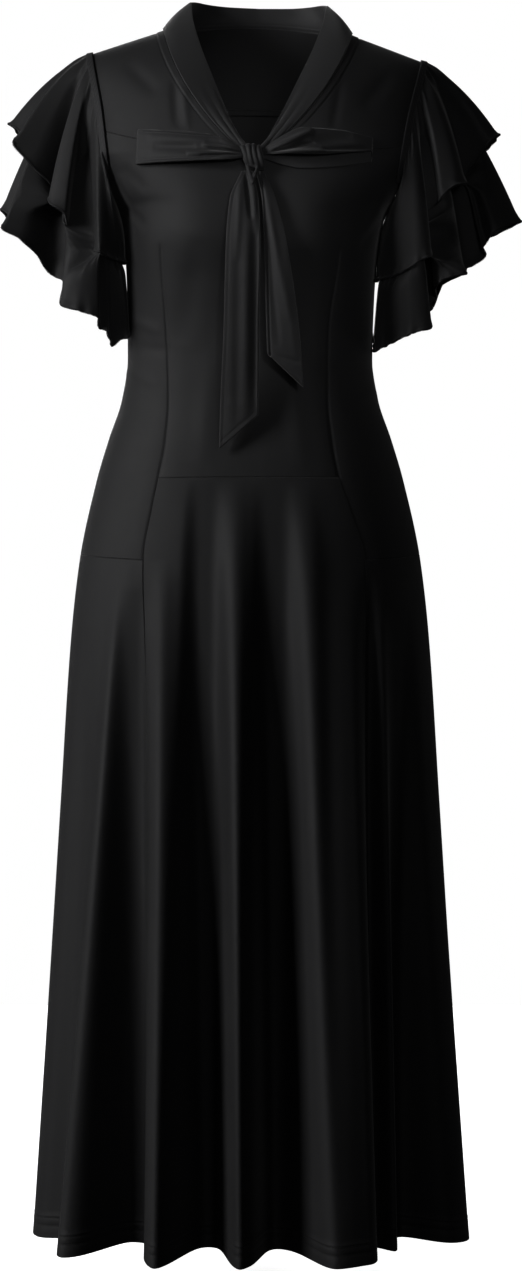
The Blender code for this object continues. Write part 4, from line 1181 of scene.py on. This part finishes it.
# Bow
LoopEdge = namedtuple("LoopEdge", "out low high backLow backHigh")
Swell = namedtuple("Swell", "run lift")
bow = {
    "cloth": 0.0016,
    "knot": (0.0035, -0.1158, -0.1435),
    "knotSize": (0.0105, 0.0066, 0.0115),
    "wraps": (-0.0074, -0.0026, 0.0024, 0.0072),
    "wrapWidth": 0.0027,
    "slant": 0.0034,
    "voxel": 0.00050,
    "rest": 0.0006,
    "swells": {
        "left": [Swell(0, 0.0078), Swell(0.18, 0.0125), Swell(0.40, 0.0128), Swell(0.70, 0.0105), Swell(1, 0.0072)],
        "right": [Swell(0, 0.0078), Swell(0.20, 0.0135), Swell(0.36, 0.0150), Swell(0.65, 0.0105), Swell(1, 0.0050)],
    },
    "left": [
        LoopEdge(0.0100, -0.1440, -0.1350, -0.1430, -0.1360),
        LoopEdge(0.035, -0.1475, -0.1235, -0.1465, -0.1250),
        LoopEdge(0.065, -0.1490, -0.1180, -0.1478, -0.1195),
        LoopEdge(0.116, -0.1500, -0.1150, -0.1496, -0.1154),
    ],
    "right": [
        LoopEdge(0.0100, -0.1400, -0.1340, -0.1440, -0.1350),
        LoopEdge(0.032, -0.1400, -0.1190, -0.1510, -0.1220),
        LoopEdge(0.050, -0.1400, -0.1120, -0.1535, -0.1150),
        LoopEdge(0.085, -0.1370, -0.1125, -0.1500, -0.1150),
        LoopEdge(0.119, -0.1310, -0.1170, -0.1430, -0.1180),
    ],
    "leftCreases": [
        Crease(-0.010, -0.1375, -0.052, -0.1315, 0.0024, 0.0034),
        Crease(-0.010, -0.1402, -0.068, -0.1400, 0.0026, 0.0030),
        Crease(-0.010, -0.1350, -0.034, -0.1262, 0.0022, 0.0018),
        Crease(-0.010, -0.1425, -0.042, -0.1462, 0.0020, 0.0016),
        Crease(-0.012, -0.1389, -0.046, -0.1360, 0.0015, -0.0024),
        Crease(-0.012, -0.1414, -0.054, -0.1430, 0.0015, -0.0020),
        Crease(-0.046, -0.1280, -0.108, -0.1240, 0.0045, 0.0014),
        Crease(-0.040, -0.1440, -0.106, -0.1405, 0.0050, 0.0009),
        Crease(-0.058, -0.1340, -0.102, -0.1330, 0.0040, -0.0014),
        Crease(-0.004, -0.1462, -0.124, -0.1488, 0.0012, 0.0014),
        Crease(-0.004, -0.1440, -0.124, -0.1462, 0.0014, -0.0007),
        Crease(-0.030, -0.1225, -0.124, -0.1142, 0.0012, 0.0012),
        Crease(-0.034, -0.1243, -0.124, -0.1164, 0.0014, -0.0008),
    ],
    "rightCreases": [
        Crease(0.012, -0.1375, 0.060, -0.1150, 0.0036, 0.0062),
        Crease(0.014, -0.1388, 0.062, -0.1275, 0.0022, -0.0034),
        Crease(0.012, -0.1396, 0.074, -0.1345, 0.0024, 0.0036),
        Crease(0.016, -0.1376, 0.050, -0.1235, 0.0012, 0.0014),
        Crease(0.058, -0.1235, 0.100, -0.1190, 0.0050, -0.0018),
        Crease(0.066, -0.1300, 0.114, -0.1255, 0.0036, 0.0014),
        Crease(0.070, -0.1340, 0.114, -0.1300, 0.0024, -0.0012),
        Crease(0.030, -0.1390, 0.126, -0.1315, 0.0012, 0.0012),
        Crease(0.020, -0.1405, 0.126, -0.1325, 0.0015, 0.0010),
    ],
}


# A loop runs out along its front layer, round its end and back along the layer behind.
def makeLoop(side):
    word = "left" if side < 0 else "right"
    table = bow[word]
    first, last = table[0].out, table[-1].out
    bendShare = 0.06
    ends = 0.5 - bendShare
    columns = np.concatenate([
        ends * graded(84, 0.1)[:-1],
        mix(ends, 1 - ends, steps(16))[:-1],
        mix(1 - ends, 1.0, graded(56, 0.1)),
    ])
    u, v = np.meshgrid(columns, graded(40, 0.03))
    across = 1 - v if side < 0 else v
    run = np.where(u < ends, u / ends, np.where(u > 1 - ends, (1 - u) / ends, 1.0))
    turn = math.pi * np.clip((u - ends) / (2 * bendShare), 0.0, 1.0)
    behind = (1 - np.cos(turn)) / 2
    out = mix(first, last, run)
    low = mix(along(table, "low", out), along(table, "backLow", out), behind)
    high = mix(along(table, "high", out), along(table, "backHigh", out), behind)
    height = mix(high, low, across)
    full = along(bow["swells"][word], "lift", run)
    rest = mix(0.0030, bow["rest"], ease(2.2 * run))
    radius = (full - rest) / 2
    folds = creaseLift(bow[word + "Creases"], side * out, height) * (1 - behind)
    lift = rest + radius * (1 + np.cos(turn)) + folds
    sideways = side * (out + radius * np.sin(turn))
    points = leaning(sideways, bodyDepth(True, np.abs(sideways), height) - lift, height)
    name = "bow_loop_" + word
    piece = clothWall(name + "_cloth", points, bow["cloth"], tieJersey)
    sewn(piece, name)


# a closed rope of cloth along a path, as vertices and faces for a bmesh
def addRope(work, path, outward, radius):
    count, sides = len(path), 12
    ahead = unit(np.roll(path, -1, 0) - np.roll(path, 1, 0))
    across = unit(np.cross(ahead, outward))
    up = np.cross(across, ahead)
    rings = []
    for i in range(count):
        angles = np.arange(sides) * 2 * np.pi / sides
        offset = np.cos(angles)[:, None] * across[i] + np.sin(angles)[:, None] * up[i]
        rings.append([work.verts.new(path[i] + spot * radius[i]) for spot in offset])
    for i in range(count):
        for k in range(sides):
            here, after = rings[i], rings[(i + 1) % count]
            work.faces.new((here[k], here[(k + 1) % sides], after[(k + 1) % sides], after[k]))


# The knot is the tie wound four times round itself, with a short twist of it hanging below.
def makeKnot():
    middle, size = np.array(bow["knot"]), np.array(bow["knotSize"])
    work = bmesh.new()
    core = bmesh.ops.create_uvsphere(work, u_segments=32, v_segments=20, radius=1.0)["verts"]
    for vertex in core:
        vertex.co = Vector(middle + np.array(vertex.co) * size)
    turn = np.linspace(0, 2 * np.pi, 72, endpoint=False)
    for index, place in enumerate(bow["wraps"]):
        ring = math.sqrt(max(0.2, 1 - (place / (size[0] + 0.002)) ** 2))
        slant = bow["slant"] * (1 - 0.15 * index)
        out = place + slant * -np.cos(turn) + 0.0005 * np.sin(2 * turn + index)
        path = middle + np.stack([out, -np.sin(turn) * size[1] * ring, np.cos(turn) * size[2] * (0.4 + 0.6 * ring)], -1)
        outward = unit(np.stack([0.3 * (out - slant * -np.cos(turn)), path[:, 1] - middle[1], path[:, 2] - middle[2]], -1))
        radius = bow["wrapWidth"] * (1 + 0.10 * np.sin(turn + 1.7 * index) + 0.05 * np.sin(3 * turn + index))
        addRope(work, path, outward, radius)
    share = turn / (2 * np.pi)
    drop = np.sin(np.pi * share) ** 0.8
    out = middle[0] + mix(-0.0058, 0.0046, share) + 0.0016 * np.sin(2 * np.pi * share)
    path = np.stack([out, middle[1] - 0.0046 - 0.0085 * drop, middle[2] - 0.0085 - 0.0195 * drop], -1)
    outward = unit(np.stack([0 * share, -1 + 0 * share, -0.3 + 0 * share], -1))
    addRope(work, path, outward, 0.0019 + 0.0003 * np.sin(5 * turn))
    bmesh.ops.recalc_face_normals(work, faces=work.faces[:])
    mesh = bpy.data.meshes.new("bow_knot_cloth")
    work.to_mesh(mesh)
    work.free()
    piece = bpy.data.objects.new("bow_knot_cloth", mesh)
    bpy.context.scene.collection.objects.link(piece)
    voxels = piece.modifiers.new("voxels", "REMESH")
    voxels.mode, voxels.voxel_size = "VOXEL", bow["voxel"]
    soft = piece.modifiers.new("soft", "SMOOTH")
    soft.factor, soft.iterations = 0.5, 3
    made = bpy.data.meshes.new_from_object(piece.evaluated_get(bpy.context.evaluated_depsgraph_get()))
    piece.modifiers.clear()
    piece.data = made
    made.name = "bow_knot_cloth"
    made.shade_smooth()
    made.materials.clear()
    made.materials.append(knotJersey)
    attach(piece, "root")
    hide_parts("bow_knot")
    print(f"bow_knot_cloth: {len(made.polygons)} faces")


TailEdge = namedtuple("TailEdge", "height left right depth")
tails = {
    "tie_tail_left": {
        "rise": (0.0, 0.034),
        "piping": 0.0004,
        "creases": [
            Crease(-0.0040, -0.158, 0.0014, -0.208, 0.0023, -0.0036),
            Crease(-0.0095, -0.158, -0.0130, -0.250, 0.0036, 0.0015),
            Crease(0.0030, -0.158, 0.0066, -0.224, 0.0026, 0.0014),
            Crease(-0.0165, -0.195, -0.0195, -0.425, 0.0050, 0.0007),
            Crease(-0.0030, -0.200, -0.0050, -0.410, 0.0050, 0.0016),
            Crease(-0.0120, -0.215, -0.0135, -0.415, 0.0050, -0.0006),
            Crease(0.0055, -0.200, 0.0050, -0.400, 0.0040, -0.0022),
            Crease(-0.0360, -0.4365, 0.0130, -0.3945, 0.0009, -0.0005),
            Crease(-0.0230, -0.3900, 0.0010, -0.3980, 0.0040, 0.0006),
        ],
        "edges": [
            TailEdge(-0.1577, -0.0085, 0.0020, -0.1165),
            TailEdge(-0.185, -0.0200, 0.0085, -0.1275),
            TailEdge(-0.230, -0.0240, 0.0105, -0.1345),
            TailEdge(-0.320, -0.0265, 0.0085, -0.1275),
            TailEdge(-0.400, -0.0300, 0.0085, -0.1180),
            TailEdge(-0.438, -0.0310, 0.0085, -0.1165),
        ],
    },
    "tie_tail_right": {
        "rise": (0.034, 0.0),
        "piping": 0.0011,
        "creases": [
            Crease(0.0110, -0.158, 0.0400, -0.310, 0.0042, 0.0020),
            Crease(0.0140, -0.180, 0.0290, -0.335, 0.0038, -0.0016),
            Crease(0.0330, -0.230, 0.0460, -0.350, 0.0045, 0.0010),
            Crease(0.0270, -0.3440, 0.0530, -0.3520, 0.0022, -0.0008),
            Crease(0.0130, -0.3350, 0.0600, -0.3770, 0.0010, -0.0006),
        ],
        "edges": [
            TailEdge(-0.1577, 0.0060, 0.0140, -0.1160),
            TailEdge(-0.185, 0.0115, 0.0260, -0.1250),
            TailEdge(-0.230, 0.0140, 0.0370, -0.1300),
            TailEdge(-0.320, 0.0165, 0.0500, -0.1245),
            TailEdge(-0.376, 0.0190, 0.0540, -0.1190),
        ],
    },
}


def makeTail(name):
    table = tails[name]["edges"]
    top, bottom = table[0].height, table[-1].height
    u, v = np.meshgrid(graded(38, 0.03), graded(150, 0.25))
    height = mix(top, bottom + mix(*tails[name]["rise"], u), v)
    left, right = along(table, "left", height), along(table, "right", height)
    out = mix(left, right, u)
    fromLeft = out - left
    piping = bell((fromLeft - 0.0012) / 0.0011) - 0.7 * bell((fromLeft - 0.0034) / 0.0010)
    relief = creaseLift(tails[name]["creases"], out, height) + tails[name]["piping"] * piping
    relief = relief * ease(np.minimum(u, 1 - u) * 12)
    points = point(out, along(table, "depth", height) - 0.0015 * np.sin(np.pi * u) - relief, height)
    piece = clothWall(name + "_cloth", points, collar["cloth"], tieJersey)
    flat, area = ((0.042, 0.285), 0.0095) if "left" in name else ((0.042, 0.225), 0.0062)
    sewn(piece, name)


makeKnot()
for side in (-1, 1):
    makeLoop(side)
for name in tails:
    makeTail(name)
print("bow made")

# Sewing: threads follow lines of places, and seam allowances lie inside along the seams.
sewing = {
    "hemStitch": {"Length": 0.0026, "Width": 0.00055, "Height": 0.0006, "Spacing": 0.0031},
    "neckStitch": {"Length": 0.0021, "Width": 0.00050, "Height": 0.0006, "Spacing": 0.0026},
    "insideStitch": {"Length": 0.0024, "Width": 0.00060, "Height": 0.0006, "Spacing": 0.0030},
    "rolledEdge": {"Length": 0.00085, "Width": 0.0024, "Height": 0.0025, "Spacing": 0.00115},
    "unevenness": 0.09,
    "allowance": 0.0065,
    "allowanceCloth": 0.0009,
}


def makeStitchTree():
    tree = bpy.data.node_groups.new("thread_stitches", "GeometryNodeTree")
    board = NodeBoard(tree, "GeometryNode")
    tree.interface.new_socket("Places", in_out="INPUT", socket_type="NodeSocketGeometry")
    for name in ("Length", "Width", "Height", "Unevenness"):
        tree.interface.new_socket(name, in_out="INPUT", socket_type="NodeSocketFloat")
    tree.interface.new_socket("Seed", in_out="INPUT", socket_type="NodeSocketInt")
    tree.interface.new_socket("Thread", in_out="INPUT", socket_type="NodeSocketMaterial")
    tree.interface.new_socket("Stitches", in_out="OUTPUT", socket_type="NodeSocketGeometry")
    start, end = tree.nodes.new("NodeGroupInput"), tree.nodes.new("NodeGroupOutput")
    given = {socket.name: Wire(board, socket) for socket in start.outputs if socket.name}
    stitch = board.add("MeshUVSphere", {}, {"Segments": 6, "Rings": 3, "Radius": 0.5})
    uneven = board.add(
        "FunctionNodeRandomValue",
        {"data_type": "FLOAT"},
        {2: 1 - given["Unevenness"], 3: 1 + given["Unevenness"], "Seed": given["Seed"]},
        1,
    )
    size = board.add("CombineXYZ", {}, {0: given["Length"] * uneven, 1: given["Width"] * uneven, 2: given["Height"]})
    vectors = {"data_type": "FLOAT_VECTOR"}
    seam = board.add("InputNamedAttribute", vectors, {"Name": "seam"})
    out = board.add("InputNamedAttribute", vectors, {"Name": "out"})
    turned = board.add("FunctionNodeAlignRotationToVector", {"axis": "X"}, {"Vector": seam})
    turned = board.add("FunctionNodeAlignRotationToVector", {"axis": "Z", "pivot_axis": "X"}, {"Rotation": turned, "Vector": out})
    laid = board.add("InstanceOnPoints", {}, {"Points": given["Places"], "Instance": stitch, "Rotation": turned, "Scale": size})
    real = board.add("RealizeInstances", {}, {"Geometry": laid})
    smooth = board.add("SetShadeSmooth", {}, {0: real})
    finished = board.add("SetMaterial", {}, {"Geometry": smooth, "Material": given["Thread"]})
    tree.links.new(finished.socket, end.inputs["Stitches"])
    return tree


stitchTree = makeStitchTree()


# places every so far along a line, with the way along it and the way out of the cloth
def spaced(points, outward, spacing):
    far = np.concatenate([[0.0], np.linalg.norm(np.diff(points, axis=0), axis=-1).cumsum()])
    marks = np.arange(spacing / 2, far[-1], spacing)
    places = np.stack([np.interp(marks, far, points[:, k]) for k in range(3)], -1)
    out = unit(np.stack([np.interp(marks, far, outward[:, k]) for k in range(3)], -1))
    return places, unit(np.gradient(places, axis=0)), out


def makeStitches(name, lines, kind, seed):
    sizes = sewing[kind]
    rows = [spaced(points, outward, sizes["Spacing"]) for points, outward in lines]
    places, seam, out = (np.concatenate(parts) for parts in zip(*rows))
    mesh = bpy.data.meshes.new(name)
    mesh.from_pydata(places.tolist(), [], [])
    for label, values in (("seam", seam), ("out", out)):
        mesh.attributes.new(label, "FLOAT_VECTOR", "POINT").data.foreach_set("vector", values.reshape(-1).astype(np.float32))
    piece = bpy.data.objects.new(name, mesh)
    bpy.context.scene.collection.objects.link(piece)
    modifier = piece.modifiers.new("stitches", "NODES")
    modifier.node_group = stitchTree
    values = {**sizes, "Unevenness": sewing["unevenness"], "Seed": seed, "Thread": thread}
    for item in stitchTree.interface.items_tree:
        if item.in_out == "INPUT" and item.name in values:
            modifier[item.identifier] = values[item.name]
    made = bpy.data.meshes.new_from_object(piece.evaluated_get(bpy.context.evaluated_depsgraph_get()))
    piece.modifiers.clear()
    piece.data = made
    made.name = name
    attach(piece, "root")
    print(f"{name}: {len(places)} stitches")


# a seam allowance: a strip inside the dress, from a grid of points on its outer face
def makeAllowance(name, points, cloth, layers=1.0):
    inner = points - normalsOf(points) * (cloth + 0.0003)
    piece = clothWall(name, inner, layers * sewing["allowanceCloth"], overlock)
    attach(piece, "root")


def sewHem():
    for name, low, high in (("hem_stitches_front", 0.3, 179.7), ("hem_stitches_back", 180.3, 359.7)):
        lines = []
        for row in skirt["hemRows"]:
            angle, rise = np.meshgrid(np.linspace(low, high, 900), row + np.array([0.0015, 0.0, -0.0015]))
            points = dress(angle, hemHeight(angle) + rise * 1.01)
            lines.append((points[1] - 0.00005 * normalsOf(points)[1], normalsOf(points)[1]))
        makeStitches(name, lines, "hemStitch", len(name))


def sewAllowances():
    wide = sewing["allowance"]
    u, v = np.meshgrid(steps(90), steps(4))
    out = 0.140 * (2 * (1 - u) - 1)
    height = backYokeHeight(np.abs(out)) + wide * (0.12 - v)
    makeAllowance("back_yoke_overlock", creased(False, out, bodyDepth(False, out, height), height), yoke["cloth"], 2.6)
    for side in (-1, 1):
        word = "left" if side < 0 else "right"
        u, v = np.meshgrid(steps(120), steps(4))
        angle = mix(128.0, -128.0, u) if side > 0 else mix(-128.0, 128.0, u)
        turn = np.radians(angle)
        height = mix(figure["underarm"], armholes[0].height, (1 + np.cos(turn)) / 2)
        armOut = along(armholes, "out", height) + wide * (0.16 - v)
        front = angle > 0
        makeAllowance(f"armhole_overlock_{word}", creased(front, side * armOut, bodyDepth(front, armOut, height), height), yoke["cloth"])
        u, v = np.meshgrid(steps(60), steps(4))
        share = mix(0.27, 0.46, u)
        seam, outward = neckSeam(share)
        edge = point(*(along(collarEdges, column, share) for column in ("out", "depth", "height")))
        places = seam + unit(edge - seam) * (wide * (0.4 - 0.8 * v))[..., None]
        places, outward = (point(side * a[..., 0], a[..., 1], a[..., 2]) for a in (places, outward))
        places = leaning(places[..., 0], places[..., 1], places[..., 2])
        if (normalsOf(places) * outward).sum() < 0:
            places = places[:, ::-1]
        makeAllowance(f"neck_overlock_{word}", places, collar["cloth"])
        u, v = np.meshgrid(steps(6), steps(160))
        height = mix(-0.205, figure["hem"] + 0.024, v)
        middle = 0 if side < 0 else 180
        spread = np.degrees(wide / along(sections, "front", height)) * (u - 0.5)
        makeAllowance(f"side_overlock_{word}", dress(middle + spread, height), skirt["cloth"] + skirt["hemSwell"])
        height = mix(figure["hipAtFront"], figure["hem"] + 0.024, v)
        spread = np.degrees(wide / along(sections, "front", height)) * 0.75 * (u - 0.5)
        makeAllowance(f"skirt_overlock_{word}", dress(seamAngle(side, height) + spread, height), skirt["cloth"] + skirt["hemSwell"])


sewHem()
makeStitches("neck_topstitch_left", [neckLines[0]], "neckStitch", 3)
makeStitches("neck_topstitch_right", [neckLines[1]], "neckStitch", 4)
makeStitches("collar_inside_stitches", insideLines, "insideStitch", 5)
for name, line in hemLines.items():
    makeStitches(name, [line], "rolledEdge", len(name))
sewAllowances()
print("sewn")

# Stage, light and camera
studio = {
    "floor": -1.300,
    "floorSize": 6.0,
    "cameraPlace": (0.0114, -4.0, -0.6266),
    "frameHeight": 1.3218,
    "key": {"place": (-3.15, -1.75, 0.8), "size": (1.2, 1.6), "watts": 128.0},
    "fill": {"place": (0.6, -3.5, -0.1), "size": (1.4, 1.4), "watts": 8.0},
    "sideLeft": {"place": (-3.2, 0.8, 0.2), "size": (1.0, 2.6), "watts": 14.0},
    "sideRight": {"place": (3.2, 1.0, 0.0), "size": (1.2, 2.2), "watts": 3.5},
    "backLeft": {"place": (-0.8, 3.8, 1.0), "size": (2.4, 2.2), "watts": 60.0},
    "neck": {"place": (0.05, -3.8, 0.30), "aim": (0.004, 0.03, -0.055), "cone": 3.3, "soft": 0.6, "watts": 240.0},
    "bust": {"place": (0.9, -3.5, 0.2), "aim": (0.060, -0.08, -0.27), "cone": 6.5, "soft": 0.9, "watts": 120.0},
}


def makeLight(name, values):
    light = bpy.data.lights.new(name, "SPOT" if "cone" in values else "AREA")
    if "cone" in values:
        light.spot_size, light.spot_blend = math.radians(values["cone"]), values["soft"]
        light.shadow_soft_size = 0.15
    else:
        light.shape = "RECTANGLE"
        light.size, light.size_y = values["size"]
    light.energy = values["watts"]
    made = bpy.data.objects.new(name, light)
    made.location = values["place"]
    aim = Vector(values.get("aim", (0, 0, -0.55))) - made.location
    made.rotation_euler = aim.to_track_quat("-Z", "Y").to_euler()
    bpy.context.scene.collection.objects.link(made)


def makeFloor():
    half = studio["floorSize"] / 2
    vertices = np.array([(x * half, y * half, studio["floor"]) for x, y in ((-1, -1), (1, -1), (1, 1), (-1, 1))])
    finish = bpy.data.materials.new("pale_floor")
    finish.use_nodes = True
    shader = finish.node_tree.nodes["Principled BSDF"]
    shader.inputs["Base Color"].default_value = (0.85, 0.85, 0.85, 1)
    shader.inputs["Roughness"].default_value = 0.9
    shader.inputs["Emission Color"].default_value = (1, 1, 1, 1)
    shader.inputs["Emission Strength"].default_value = 0.93
    floor = meshPiece("floor", vertices, np.array([[0, 1, 2, 3]]), None, finish)
    floor.visible_diffuse = floor.visible_glossy = False


def makeWorld():
    world = bpy.data.worlds.new("studio")
    world.use_nodes = True
    board = NodeBoard(world.node_tree)
    seen = board.add("LightPath", {}, {}, "Is Camera Ray")
    strength = seen * 0.994 + 0.006
    world.node_tree.nodes["Background"].inputs["Color"].default_value = (1, 1, 1, 1)
    world.node_tree.links.new(strength.socket, world.node_tree.nodes["Background"].inputs["Strength"])
    bpy.context.scene.world = world


def makeCamera():
    camera = bpy.data.cameras.new("camera")
    camera.sensor_fit = "VERTICAL"
    camera.sensor_height = 36.0
    camera.lens = 36.0 * -studio["cameraPlace"][1] / studio["frameHeight"]
    made = bpy.data.objects.new("camera", camera)
    made.location = studio["cameraPlace"]
    made.rotation_euler = (math.radians(90), 0, 0)
    bpy.context.scene.collection.objects.link(made)
    bpy.context.scene.camera = made


for name in ("key", "fill", "sideLeft", "sideRight", "backLeft", "neck", "bust"):
    makeLight(name, studio[name])
makeFloor()
makeWorld()
makeCamera()
bpy.context.scene.view_settings.view_transform = "Standard"
bpy.context.scene.view_settings.gamma = 0.8
print("stage made")
